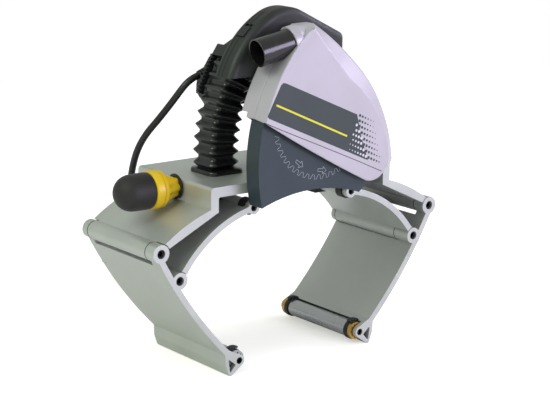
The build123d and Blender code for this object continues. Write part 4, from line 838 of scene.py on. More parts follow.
@dataclass
class Studio:
    """The camera, the floor and the light of the photograph."""

    eye: Point = (-1.1798, -1.4948, 0.6308)
    back: Point = (-0.6032, -0.7628, 0.2331)
    right: Point = (0.7862, -0.6179, 0.0129)
    up: Point = (0.1342, 0.1910, 0.9724)
    lens_mm: float = 112.1
    sensor_mm: float = 36.0
    near: float = 0.05
    far: float = 30.0
    floor_half: float = 1.8
    floor_cells: int = 24
    floor_glow: float = 0.47
    floor_clouds: float = 2.0
    world_light: float = 0.6
    target: Point = (0, 0, 0.2)
    lamps: Tuple[Lamp, ...] = (
        Lamp("key_above_left", place=(-2.0, -0.2, 2.0), size=1.4, power=29, colour="#F3FFEC"),
        Lamp("fill_front_right", place=(0.9, -2.5, 0.8), size=1.2, power=36, colour="#E6DCFF"),
        Lamp("side_right", place=(2.3, -0.5, 1.1), size=1.2, power=30, colour="#EAE0FF"),
    )

    def camera(self) -> None:
        """Places the camera where the photograph was taken."""
        data = bpy.data.cameras.new("camera")
        data.lens = self.lens_mm
        data.sensor_width = self.sensor_mm
        data.clip_start = self.near
        data.clip_end = self.far
        camera = add_object("camera", data)
        turn = Matrix((self.right, self.up, self.back)).transposed().to_4x4()
        camera.matrix_world = Matrix.Translation(self.eye) @ turn
        bpy.context.scene.camera = camera

    def floor(self) -> None:
        """Lays a white floor that keeps the object's shadow and blends into the background."""
        half, count = self.floor_half, self.floor_cells
        wide = count + 1
        lines = [half * (2 * step / count - 1) for step in range(wide)]
        points = [(x, y, 0.0) for y in lines for x in lines]
        faces = [
            (r * wide + s, r * wide + s + 1, (r + 1) * wide + s + 1, (r + 1) * wide + s)
            for r in range(count)
            for s in range(count)
        ]
        mesh = bpy.data.meshes.new("floor")
        mesh.from_pydata(points, [], faces)
        floor = add_object("floor", mesh)
        mesh.materials.append(self.paper())

    def paper(self) -> bpy.types.Material:
        """Makes the floor's white paper, which glows a little for the camera alone.

        Returns:
            The material.
        """
        material = bpy.data.materials.new("studio_paper_white")
        material.use_nodes = True
        tree = material.node_tree
        tree.nodes.clear()
        place = add_node(tree, "TexCoord").outputs["Object"]
        cloud = add_node(tree, "TexNoise", Vector=place, Scale=self.floor_clouds, Detail=1.0)
        mix = add_node(
            tree,
            "Mix",
            {"data_type": "RGBA"},
            Factor=cloud.outputs["Fac"],
            A_6=linear("#F2F1ED"),
            B_7=linear("#F6F5F4"),
        )
        paper = add_node(tree, "BsdfDiffuse", Color=mix.outputs[2])
        seen = add_node(tree, "LightPath").outputs["Is Camera Ray"]
        lift = add_node(
            tree, "Math", {"operation": "MULTIPLY"}, Value_0=seen, Value_1=self.floor_glow
        )
        glow = add_node(
            tree, "Emission", Color=linear("#FFFEFA"), Strength=lift.outputs["Value"]
        )
        both = add_node(
            tree,
            "AddShader",
            Shader_0=paper.outputs["BSDF"],
            Shader_1=glow.outputs["Emission"],
        )
        out = add_node(tree, "OutputMaterial")
        tree.links.new(both.outputs["Shader"], out.inputs["Surface"])
        return material

    def world(self) -> None:
        """Surrounds the object with soft white light and shows the camera plain white."""
        world = bpy.data.worlds.new("studio")
        bpy.context.scene.world = world
        world.use_nodes = True
        tree = world.node_tree
        tree.nodes.clear()
        path = add_node(tree, "LightPath")
        seen = add_node(
            tree,
            "Math",
            {"operation": "MAXIMUM"},
            Value_0=path.outputs["Is Camera Ray"],
            Value_1=path.outputs["Is Transmission Ray"],
        )
        soft = add_node(tree, "Background", Color=linear("#EFF4EE"), Strength=self.world_light)
        white = add_node(tree, "Background", Color=(1, 1, 1, 1), Strength=1.0)
        mix = add_node(
            tree,
            "MixShader",
            Fac=seen.outputs["Value"],
            Shader_1=soft.outputs["Background"],
            Shader_2=white.outputs["Background"],
        )
        out = add_node(tree, "OutputWorld")
        tree.links.new(mix.outputs["Shader"], out.inputs["Surface"])

    def build(self) -> None:
        """Builds camera, floor, world and lamps."""
        self.camera()
        self.floor()
        self.world()
        for lamp in self.lamps:
            lamp.hang(self.target)
        bpy.context.scene.view_settings.view_transform = "Standard"


@dataclass
class MainsCord:
    """The mains lead: strain relief, free run, put-away coil and plug.

    The cord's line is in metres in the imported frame, and the turned mouldings on it are in
    millimetres. The coil has layers of seven quarter turns, with two more to climb to the next.
    """

    radius_mm: float = 4.0
    length_m: float = 2.95
    pitch: float = 0.00875
    outer: float = 0.03665625
    inner: float = 0.02134375
    floor: float = 0.0041
    layers: int = 6
    layer_quarters: int = 7
    climb_quarters: int = 2
    quarter_steps: int = 4
    return_steps: int = 16
    # The smooth line cuts inside its points, so the points of a turn lie this much wider.
    turn_swell: float = 1.019
    plug_axis: float = 0.06893
    # How far the cord's end reaches into the plug's sleeve.
    plug_depth: float = 0.004
    centre: Flat = (0.048, 0.318)
    start_deg: float = -57.93
    route: Tuple[Point, ...] = (
        (-0.0679, 0.0528, 0.3202),
        (-0.0737, 0.0528, 0.3186),
        (-0.0793, 0.0535, 0.3155),
        (-0.0841, 0.0550, 0.3112),
        (-0.0880, 0.0572, 0.3056),
        (-0.0920, 0.0608, 0.2982),
        (-0.0978, 0.0673, 0.2863),
        (-0.1053, 0.0783, 0.2695),
        (-0.1123, 0.0928, 0.2515),
        (-0.1153, 0.1063, 0.2315),
        (-0.1148, 0.1178, 0.2075),
        (-0.1113, 0.1278, 0.1820),
        (-0.1053, 0.1368, 0.1560),
        (-0.0983, 0.1448, 0.1300),
        (-0.0908, 0.1523, 0.1040),
        (-0.0828, 0.1603, 0.0785),
        (-0.0728, 0.1708, 0.0540),
        (-0.0603, 0.1848, 0.0320),
        (-0.0443, 0.2028, 0.0145),
        (-0.0248, 0.2228, 0.0058),
        (-0.0028, 0.2423, 0.0041),
        (0.0282, 0.2624, 0.0041),
        (0.0606, 0.2827, 0.0041),
    )
    plug_sleeve: Ribs = Ribs(
        count=5,
        start=3,
        pitch=3.6,
        radius=5.6,
        growth=1.5,
        shape=((0, 0), (1.7, 0.5), (2.0, -0.7), (2.9, -0.5)),
    )
    plug_root: Profile = ((0, 4.9), (1.5, 5.3))
    plug_waist: Profile = (
        (22, 14.5),
        (25, 16.4),
        (29, 16.9),
        (34, 15.9),
        (40, 15.6),
        (46, 16.4),
        (50, 16.9),
        (53, 16.6),
        (54, 15.6),
    )
    plug_steps: int = 56
    plug_face: float = 0.0538
    pin_offset: float = 0.0095
    pin_shape: Profile = ((0, 2.35), (10, 2.35), (10.2, 2.2), (17.5, 2.2), (18.6, 1.7), (19, 0.8))
    pin_steps: int = 24
    relief_root: Point = (-0.0468, 0.0528, 0.3263)
    relief_tip: Point = (-0.067948, 0.0528, 0.320236)
    relief_collar: Profile = ((0, 6.9), (3, 6.9))
    relief_rings: Ribs = Ribs(
        count=5,
        start=4,
        pitch=3.4,
        radius=6.7,
        growth=-0.28,
        shape=((0, 0), (1.6, -0.1), (1.9, -1.5), (3.0, -1.55)),
    )
    relief_end: Profile = ((21.2, 5.2), (22, 4.5))
    relief_steps: int = 40

    @staticmethod
    def ease(share: float) -> float:
        """Gives a smooth share from 0 to 1."""
        share = min(max(share, 0.0), 1.0)
        return share * share * (3 - 2 * share)

    @property
    def wound(self) -> int:
        """Number of quarter turns in the wound layers."""
        return self.layers * self.layer_quarters + (self.layers - 1) * self.climb_quarters

    @property
    def top(self) -> float:
        """Height of the top layer's centre line."""
        return self.floor + (self.layers - 1) * self.pitch

    def radius_at(self, quarter: float) -> float:
        """Gives the winding's radius, which shrinks in one layer and grows in the next.

        Args:
            quarter: Quarter turns wound so far.

        Returns:
            The radius in metres.
        """
        cycle = self.layer_quarters + self.climb_quarters
        layer = int(quarter // cycle)
        done = quarter - layer * cycle
        inwards = layer % 2 == 0
        if done <= self.layer_quarters:
            moved = self.pitch / 4 * done
            return self.outer - moved if inwards else self.inner + moved
        past = done - self.layer_quarters
        swell = self.pitch / 4 * (past - past * past / self.climb_quarters)
        return self.inner - swell if inwards else self.outer + swell

    def height_at(self, quarter: float) -> float:
        """Gives the height of the winding, which rises between two layers.

        Args:
            quarter: Quarter turns wound so far.

        Returns:
            The height in metres.
        """
        cycle = self.layer_quarters + self.climb_quarters
        layer = int(quarter // cycle)
        past = quarter - layer * cycle - self.layer_quarters
        return self.floor + self.pitch * (layer + self.ease(past / self.climb_quarters))

    def coil_points(self) -> List[Vector]:
        """Winds the coil and leads its end over the top to the plug.

        Returns:
            The points of the cord's line from the start of the coil to the plug.
        """
        points = []
        for step in range(self.wound * self.quarter_steps):
            quarter = step / self.quarter_steps
            angle = math.radians(self.start_deg + 90 * quarter)
            radius = self.radius_at(quarter) * self.turn_swell
            x = self.centre[0] + radius * math.cos(angle)
            y = self.centre[1] + radius * math.sin(angle)
            points.append(Vector((x, y, self.height_at(quarter))))
        turn = self.outer / 2
        length = turn + math.pi * turn
        for step in range(self.return_steps + 1):
            distance = length * step / self.return_steps
            angle = max(distance - turn, 0.0) / turn
            wide = turn * (self.turn_swell if 0 < angle < math.pi else 1.0)
            out = self.outer - turn + wide * math.cos(angle)
            forward = min(distance, turn) + wide * math.sin(angle)
            rise = (self.plug_axis - self.top) * self.ease(distance / length)
            points.append(self.place(out, forward, self.top + rise))
        end = turn - 2 * self.radius_mm * MM - self.plug_depth
        points.append(self.place(0.0, end, self.plug_axis))
        return points

    def place(self, out: float, forward: float, height: float) -> Vector:
        """Places a point over the coil.

        Args:
            out: Distance from the coil's middle along the radius where the winding ends.
            forward: Distance square to that radius, in the way of the winding.
            height: Height over the floor.

        Returns:
            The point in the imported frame.
        """
        end = math.radians(self.start_deg + 90 * self.wound)
        x = self.centre[0] + out * math.cos(end) - forward * math.sin(end)
        y = self.centre[1] + out * math.sin(end) + forward * math.cos(end)
        return Vector((x, y, height))

    def plug_line(self) -> Tuple[Vector, Vector]:
        """Gives the line on which the plug lies.

        Returns:
            The start of the plug's sleeve and the plug's direction.
        """
        start = self.place(0.0, self.outer / 2 - 2 * self.radius_mm * MM, self.plug_axis)
        along = (self.place(0.0, 0.0, self.plug_axis) - start).normalized()
        return start, along

    def lead(self, shop: Shop) -> bpy.types.Object:
        """Makes the cord as one smooth line from the strain relief to the plug.

        Args:
            shop: Where the piece is finished.

        Returns:
            The cord.
        """
        curve = bpy.data.curves.new("mains_lead", "CURVE")
        curve.dimensions = "3D"
        curve.bevel_depth = self.radius_mm * MM
        curve.bevel_resolution = 5
        curve.use_fill_caps = True
        points = [Vector(p) for p in self.route] + self.coil_points()
        spline = curve.splines.new("NURBS")
        spline.points.add(len(points) - 1)
        for knot, point in zip(spline.points, points):
            knot.co = (*point, 1.0)
        spline.order_u = 3
        spline.use_endpoint_u = True
        spline.resolution_u = 6
        curve.materials.append(shop.material(CORD_PVC))
        cord = add_object("mains_lead", curve)
        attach(cord, "frame")
        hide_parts("cord_run", "cord_coil")
        LOG.info("mains_lead made with %d points", len(points))
        return cord

    def plug(self, shop: Shop) -> bpy.types.Object:
        """Makes the two-pin plug with its ribbed sleeve, waisted body and rounded pins.

        Args:
            shop: Where the pieces are finished.

        Returns:
            The plug's body, which carries the pins.
        """
        start, along = self.plug_line()
        profile = [*self.plug_root, *self.plug_sleeve.profile(), *self.plug_waist]
        mesh = turned("plug_body", start, along, profile, self.plug_steps)
        body = shop.keep("plug_body", mesh, BLACK_NYLON, "frame", MOULDED_DEG)
        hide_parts("plug")
        side = along.cross(Vector((0, 0, 1))).normalized()
        for index, sign in enumerate((-1, 1)):
            name = f"plug_pin_{index}"
            place = start + along * self.plug_face + side * (sign * self.pin_offset)
            mesh = turned(name, place, along, self.pin_shape, self.pin_steps)
            pin = shop.keep(name, mesh, BRASS, "frame")
            pin.parent = body
            pin.matrix_parent_inverse = Matrix.Identity(4)
        return body

    def relief(self, shop: Shop) -> None:
        """Makes the tapered strain relief with its rings at the motor cover.

        Args:
            shop: Where the piece is finished.
        """
        name = "cord_relief"
        root = Vector(self.relief_root)
        profile = [*self.relief_collar, *self.relief_rings.profile(), *self.relief_end]
        along = Vector(self.relief_tip) - root
        mesh = turned(name, root, along, profile, self.relief_steps)
        piece = shop.keep(name, mesh, BELLOWS_RUBBER, "motor_unit", RUBBER_DEG)
        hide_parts("cord_boot")

    def build(self, shop: Shop) -> None:
        """Builds the cord with everything on it.

        Args:
            shop: Where the pieces are finished.
        """
        lead, plug = self.lead(shop), self.plug(shop)
        self.relief(shop)


@dataclass(frozen=True)
class HingeGap:
    """The gap between two knuckles of a hinge on the right side, in millimetres."""

    x: float
    y: float
    z: float
    radius: float
    body: str


@dataclass
class Clamp:
    """The aluminium frame with its jaws, links, rollers and pins."""

    gaps: Tuple[HingeGap, ...] = (
        HingeGap(x=193.0, y=16.25, z=154.4, radius=10.3, body="frame"),
        HingeGap(x=193.0, y=130.15, z=154.4, radius=10.3, body="frame"),
        HingeGap(x=168.9, y=24.25, z=120.8, radius=9.4, body="{side}_jaw"),
        HingeGap(x=168.9, y=133.65, z=120.8, radius=9.4, body="{side}_jaw"),
    )
    # Distances along the pin and out from the knuckle for the band of painted shade, drawn twice
    # as wide as the real gap.
    gap_shape: Profile = ((-0.5, -0.4), (-0.5, 0.1), (0.5, 0.1), (0.5, -0.4))
    gap_steps: int = 64
    axle_x: float = 88.4
    axle_z: float = 15.8
    clip_inner: float = 12.2
    clip_outer: float = 14.2
    clip_first_deg: float = 8
    clip_last_deg: float = 120
    clip_step_deg: float = 14
    clip_steps: int = 9
    clip_front: float = 11.4
    clip_rear: float = 123.8
    # Depths through a clip and its size there, smaller at both ends for rounded edges.
    clip_shape: Profile = ((0.0, 0.9), (0.6, 1.0), (4.6, 1.0), (5.2, 0.9))

    def paint_gap_shade(self, shop: Shop, name: str, gap: HingeGap, side: str) -> None:
        """Paints the shade in the gap between two knuckles as a dark band.

        Args:
            shop: Where the piece is finished.
            name: The piece's name.
            gap: The gap, as it is on the right side.
            side: The side that it is drawn on.
        """
        x = gap.x if side == "right" else -gap.x
        rings = []
        for across, grown in self.gap_shape:
            y, wide = gap.y + across, gap.radius + grown
            rim = circle(self.gap_steps)
            rings.append([at(x + wide * c, y, gap.z + wide * s) for c, s in rim])
        mesh = skin(name, rings, capped=False, closed=True)
        shop.keep(name, mesh, PAINTED_GAP_SHADE, gap.body.format(side=side))

    def arc(self, radius: float, first_deg: float, step_deg: float) -> List[Flat]:
        """Gives the points of an arc about the roller's axle.

        Args:
            radius: Its radius.
            first_deg: Where it starts.
            step_deg: The angle from each point to the next.

        Returns:
            Points in x and z on the right side.
        """
        points: List[Flat] = []
        for step in range(self.clip_steps):
            angle = math.radians(first_deg + step_deg * step)
            x = self.axle_x + radius * math.cos(angle)
            points.append((x, self.axle_z + radius * math.sin(angle)))
        return points

    def clip(self, shop: Shop, side: str, front: bool) -> None:
        """Makes one black clip that stands behind a roller's end.

        Args:
            shop: Where the piece is finished.
            side: Which jaw it belongs to.
            front: Whether it stands at the viewer's end.
        """
        sign = -1 if side == "left" else 1
        y = self.clip_front if front else self.clip_rear
        outline = self.arc(self.clip_inner, self.clip_first_deg, self.clip_step_deg)
        outline += self.arc(self.clip_outer, self.clip_last_deg, -self.clip_step_deg)
        middle_x = sum(point[0] for point in outline) / len(outline)
        middle_z = sum(point[1] for point in outline) / len(outline)
        rings = []
        for depth, size in self.clip_shape:
            ring = []
            for x, z in outline:
                out, up = middle_x + (x - middle_x) * size, middle_z + (z - middle_z) * size
                ring.append(at(sign * out, y + depth, up))
            rings.append(ring)
        name = f"{side}_roller_clip_{'front' if front else 'rear'}"
        shop.keep(name, skin(name, rings), BLACK_NYLON, f"{side}_jaw")

    def build(self, shop: Shop) -> None:
        """Dresses the clamp and adds its clips and the painted shade in the gaps of its hinges.

        Args:
            shop: Where the pieces are finished.
        """
        shop.dress(ANODISED, "frame_profile")
        shop.dress(MACHINED, "pivot_bracket")
        shop.dress(TURNED_STEEL, "bracket_bolts", "pivot_pin")
        shop.dress(BLACKENED_STEEL, "outer_hinge_pins")
        shop.dress(BRASS, "screw_bushes")
        for side in ("left", "right"):
            shop.dress(ANODISED, f"{side}_jaw", f"{side}_link")
            shop.dress(BLACKENED_STEEL, f"{side}_nut_block", f"{side}_inner_hinge_pin")
            shop.dress(BLACKENED_STEEL, f"{side}_lower_axle", f"{side}_upper_axle")
            shop.dress(TURNED_STEEL, f"{side}_roller_tube")
            shop.dress(RING_RUBBER, f"{side}_roller_rings", f"{side}_upper_rollers")
            shop.dress(BRASS if side == "right" else TURNED_STEEL, f"{side}_roller_bushes")
            for front in (True, False):
                self.clip(shop, side, front)
            # Dark bands of painted shade in the gaps between the hinges' knuckles.
            for index, gap in enumerate(self.gaps):
                self.paint_gap_shade(shop, f"{side}_hinge_gap_shade_{index}", gap, side)


@dataclass
class ClampScrew:
    """The adjusting screw with its lobed yellow knob and rubber grip."""

    y: float = 65.0
    z: float = 208.0
    steps: int = 72
    grip_x: float = -166.7
    ring_x: float = -150.7
    hub_x: float = -128.9
    washer_profile: Profile = (
        (0, 9.0),
        (0, 13.6),
        (0.4, 14.0),
        (1.6, 14.0),
        (2.0, 13.4),
        (2.0, 9.0),
    )
    washer_steps: int = 48
    flutes: int = 6
    hub_radius: float = 8.6
    hub_flare: float = 4.4
    lobe_height: float = 2.2
    lobe_growth: float = 4.6
    lobe_fullness: float = 0.7
    hub_rings: int = 12
    hub_steps: int = 96
    ring_profile: Profile = (
        (0, 15.4),
        (0, 19.6),
        (0.6, 20.6),
        (5, 21.2),
        (5.3, 20.5),
        (5.8, 20.5),
        (6.1, 21.4),
        (14.6, 21.5),
        (15.6, 20.9),
        (16, 19.8),
        (16, 15.4),
    )
    grip_wall: Profile = (
        (0, 16.0),
        (0, 19.2),
        (0.5, 20.0),
        (1.6, 20.4),
        (6, 20.5),
        (12, 20.5),
        (20.5, 20.3),
    )
    dome_height: float = 20.4
    dome_fullness: float = 0.92
    dome_steps: int = 12
    tip_radius: float = 0.05

    def washer(self, shop: Shop) -> None:
        """Makes the dark washer between the wall and the hub.

        Args:
            shop: Where the piece is finished.
        """
        name, start = "knob_washer", at(self.hub_x, self.y, self.z)
        mesh = turned(name, start, LEFTWARDS, self.washer_profile, self.washer_steps)
        shop.keep(name, mesh, BLACK_NYLON, "screw", MOULDED_DEG)

    def hub(self, shop: Shop) -> None:
        """Makes the hub whose flutes run out from the wall to the ring.

        Args:
            shop: Where the piece is finished.
        """
        rings = []
        for step in range(self.hub_rings + 1):
            share = step / self.hub_rings
            x = self.hub_x + (self.ring_x - self.hub_x) * share
            base = self.hub_radius + self.hub_flare * share
            lobe = self.lobe_height + self.lobe_growth * share * share
            ring = []
            for point in range(self.hub_steps):
                angle = 2 * math.pi * point / self.hub_steps
                height = (0.5 + 0.5 * math.cos(self.flutes * angle)) ** self.lobe_fullness
                radius = base + lobe * height
                y = self.y + radius * math.cos(angle)
                ring.append(at(x, y, self.z + radius * math.sin(angle)))
            rings.append(ring)
        name = "knob_hub_flutes"
        mesh = skin(name, rings)
        piece = shop.keep(name, mesh, YELLOW_NYLON, "screw", MOULDED_DEG)
        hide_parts("knob_hub")

    def ring(self, shop: Shop) -> None:
        """Makes the smooth yellow ring with its stepped rim.

        Args:
            shop: Where the piece is finished.
        """
        name, start = "knob_ring_moulding", at(self.ring_x, self.y, self.z)
        mesh = turned(name, start, LEFTWARDS, self.ring_profile, self.steps)
        piece = shop.keep(name, mesh, YELLOW_NYLON, "screw", MOULDED_DEG)
        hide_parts("knob_ring")

    def grip(self, shop: Shop) -> None:
        """Makes the domed rubber grip with its soft edges.

        Args:
            shop: Where the piece is finished.
        """
        profile = list(self.grip_wall)
        base, wide = self.grip_wall[-1]
        for step in range(1, self.dome_steps + 1):
            angle = math.pi / 2 * step / self.dome_steps
            radius = max(wide * math.cos(angle) ** self.dome_fullness, self.tip_radius)
            profile.append((base + self.dome_height * math.sin(angle), radius))
        name, start = "knob_grip_rubber", at(self.grip_x, self.y, self.z)
        mesh = turned(name, start, LEFTWARDS, profile, self.steps)
        piece = shop.keep(name, mesh, GRIP_RUBBER, "screw", RUBBER_DEG)
        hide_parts("knob_grip")

    def build(self, shop: Shop) -> None:
        """Dresses the screw and builds the knob round it.

        Args:
            shop: Where the pieces are finished.
        """
        shop.dress(OILED_STEEL, "adjusting_screw")
        self.washer(shop)
        self.hub(shop)
        self.ring(shop)
        self.grip(shop)


@dataclass
class Bellows:
    """The ribbed rubber bellows over the return spring, bent round the plunge pivot."""

    pivot_x: float = 103.0
    pivot_z: float = 238.0
    radius: float = 177.0
    y: float = 66.0
    platform: float = 217.4
    top_deg: float = 33.0
    folds: int = 9
    half: float = 20.8
    valley: float = 15.6
    corner: float = 9.5
    # Share of the corner's radius that is left in the valleys.
    valley_corner: float = 0.62
    corner_steps: int = 8
    # How far the last ring stands out from the valleys.
    top_lip: float = 0.5
    # Shares of a fold's height and depths from its valley, 0, to its rounded crest, 1.
    fold_shape: Profile = (
        (0.0, 0.06),
        (0.07, 0.0),
        (0.2, 0.3),
        (0.34, 0.66),
        (0.455, 0.97),
        (0.5, 1.0),
        (0.545, 0.97),
        (0.66, 0.66),
        (0.8, 0.3),
        (0.93, 0.0),
    )
    foot_height: float = 5.0
    # Heights over the platform and half widths of the moulded foot.
    foot_shape: Profile = (
        (0.0, 23.0),
        (0.3, 23.4),
        (3.2, 23.4),
        (4.4, 22.8),
        (5.0, 21.6),
        (5.6, 18.5),
        (7.4, 16.4),
        (8.0, 15.8),
    )
    rack_teeth: int = 11
    rack_first: float = 19.5
    rack_last: float = 33.5
    rack_back: float = 190.0
    rack_back_steps: int = 8
    rack_faces: Flat = (87.4, 91.4)
    # Shares of a tooth's length and radii about the pivot.
    tooth_shape: Profile = ((0.1, 195.6), (0.35, 198.4), (0.65, 198.4), (0.9, 195.6))

    @property
    def base_deg(self) -> float:
        """Angle about the pivot at which the bellows meets the platform."""
        return math.degrees(math.atan2(self.platform - self.pivot_z, self.radius))

    def square(self, half: float, corner: float) -> List[Flat]:
        """Gives the points of a rounded square.

        Args:
            half: Half of its side.
            corner: The radius of its corners.

        Returns:
            Points in order round it.
        """
        points: List[Flat] = []
        reach = half - corner
        corners = ((reach, reach), (-reach, reach), (-reach, -reach), (reach, -reach))
        for turn, (cx, cy) in enumerate(corners):
            for step in range(self.corner_steps + 1):
                angle = math.radians(90 * turn + 90 * step / self.corner_steps)
                points.append((cx + corner * math.cos(angle), cy + corner * math.sin(angle)))
        return points

    def ring(self, angle_deg: float, half: float) -> List[Vector]:
        """Places a rounded square across the bellows.

        Args:
            angle_deg: Its angle about the pivot.
            half: Half of its side.

        Returns:
            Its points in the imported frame.
        """
        angle = math.radians(angle_deg)
        out = Vector((-math.cos(angle), 0, math.sin(angle)))
        centre = Vector((self.pivot_x, self.y, self.pivot_z)) + out * self.radius
        depth = (half - self.valley) / (self.half - self.valley)
        corner = self.corner * (self.valley_corner + (1 - self.valley_corner) * depth)
        return [at(*(centre + out * a + Vector((0, b, 0)))) for a, b in self.square(half, corner)]

    def folded(self, shop: Shop) -> None:
        """Builds the skin of folds with rounded crests.

        Args:
            shop: Where the piece is finished.
        """
        start = self.base_deg + math.degrees(self.foot_height / self.radius)
        step = (self.top_deg - start) / self.folds
        rings = []
        for fold in range(self.folds):
            low = start + fold * step
            for share, depth in self.fold_shape:
                half = self.valley + (self.half - self.valley) * depth
                rings.append(self.ring(low + share * step, half))
        rings.append(self.ring(self.top_deg, self.valley + self.top_lip))
        mesh = skin("bellows_rubber", rings)
        piece = add_object("bellows_rubber", mesh)
        mesh.materials.append(shop.material(BELLOWS_RUBBER))
        smooth(mesh, FOLDED_DEG)
        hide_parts("bellows")
        low = self.ring(start, 0.0)[0]
        high = self.ring(self.top_deg, 0.0)[0]
        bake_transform(piece)
        LOG.info("bellows_rubber made with %d faces", len(mesh.polygons))

    def foot(self, shop: Shop) -> None:
        """Builds the moulded foot on the platform with its rounded shoulder.

        Args:
            shop: Where the piece is finished.
        """
        middle = self.pivot_x - self.radius * math.cos(math.radians(self.base_deg))
        rings = []
        for height, half in self.foot_shape:
            z = self.platform + height
            ring = [at(middle + a, self.y + b, z) for a, b in self.square(half, self.corner)]
            rings.append(ring)
        mesh = skin("bellows_foot", rings)
        shop.keep("bellows_foot", mesh, BELLOWS_RUBBER, "frame", RUBBER_DEG)

    def rack(self, shop: Shop) -> None:
        """Builds the toothed strip that stands behind the bellows at the motor unit's head.

        Args:
            shop: Where the piece is finished.
        """
        polar: List[Flat] = []
        swing = self.rack_last - self.rack_first
        for tooth in range(self.rack_teeth):
            for share, radius in self.tooth_shape:
                polar.append((self.rack_first + swing * (tooth + share) / self.rack_teeth, radius))
        for step in range(self.rack_back_steps + 1):
            polar.append((self.rack_last - swing * step / self.rack_back_steps, self.rack_back))
        outline: List[Flat] = []
        for degrees, radius in polar:
            angle = math.radians(degrees)
            x = self.pivot_x - radius * math.cos(angle)
            outline.append((x, self.pivot_z + radius * math.sin(angle)))
        rings = [[at(x, y, z) for x, z in outline] for y in self.rack_faces]
        mesh = skin("bellows_rack", rings)
        shop.keep("bellows_rack", mesh, BLACK_NYLON, "motor_unit", CRISP_DEG)

    def build(self, shop: Shop) -> None:
        """Builds the bellows, its foot and the strip behind it.

        Args:
            shop: Where the pieces are finished.
        """
        self.folded(shop)
        self.foot(shop)
        self.rack(shop)


@dataclass
class MotorUnit:
    """The plunging unit: gear housing, motor, handle and the pieces inside."""

    arc_x: float = 12.74
    arc_z: float = 295.57
    arc_radius: float = 114.37
    arc_first: float = 162.0
    arc_last: float = 116.0
    arc_steps: int = 48
    # Painted shade along the joint line of the handle's halves and along the ridge beside it.
    seam_shade_ys: Flat = (26.75, 33.2)
    seam_shade_sink: float = 0.1
    seam_shade_shape: Profile = ((-0.6, -0.45), (0.3, -0.45), (0.3, 0.45), (-0.6, 0.45))

    def paint_seam_shade(self, shop: Shop) -> None:
        """Paints the shade of the joint line and of the ridge along the handle's outer arc as dark
        bands.

        Args:
            shop: Where the pieces are finished.
        """
        swing = self.arc_last - self.arc_first
        for index, y in enumerate(self.seam_shade_ys):
            rings = []
            for step in range(self.arc_steps + 1):
                angle = math.radians(self.arc_first + swing * step / self.arc_steps)
                out = Vector((math.cos(angle), 0.0, math.sin(angle)))
                centre = Vector((self.arc_x, y, self.arc_z))
                centre += out * (self.arc_radius - self.seam_shade_sink)
                shape = [centre + out * a + Vector((0, b, 0)) for a, b in self.seam_shade_shape]
                rings.append([at(*point) for point in shape])
            name = f"handle_seam_shade_{index}"
            shop.keep(name, skin(name, rings), PAINTED_GAP_SHADE, "motor_unit")

    def build(self, shop: Shop) -> None:
        """Dresses the housings, the handle and what they hold.

        Args:
            shop: Where the pieces are finished.
        """
        shop.dress(NYLON, "gear_housing", "motor_can", "motor_rear_cover")
        shop.dress(NYLON, "handle_front", "handle_rear")
        shop.dress(BLACK_NYLON, "trigger", "lock_lever", "power_switch", "brush_holders")
        shop.dress(TURNED_STEEL, "bearings", "armature_shaft", "spindle", "blade_flanges")
        shop.dress(TURNED_STEEL, "blade_bolt", "guard_screws")
        shop.dress(OILED_STEEL, "intermediate_gears", "spindle_gear", "plunge_spring")
        shop.dress(BLADE_STEEL, "blade")
        shop.dress(WINDINGS, "stator", "armature_core")
        shop.dress(GLOSS_BLACK, "dust_tube")
        self.paint_seam_shade(shop)


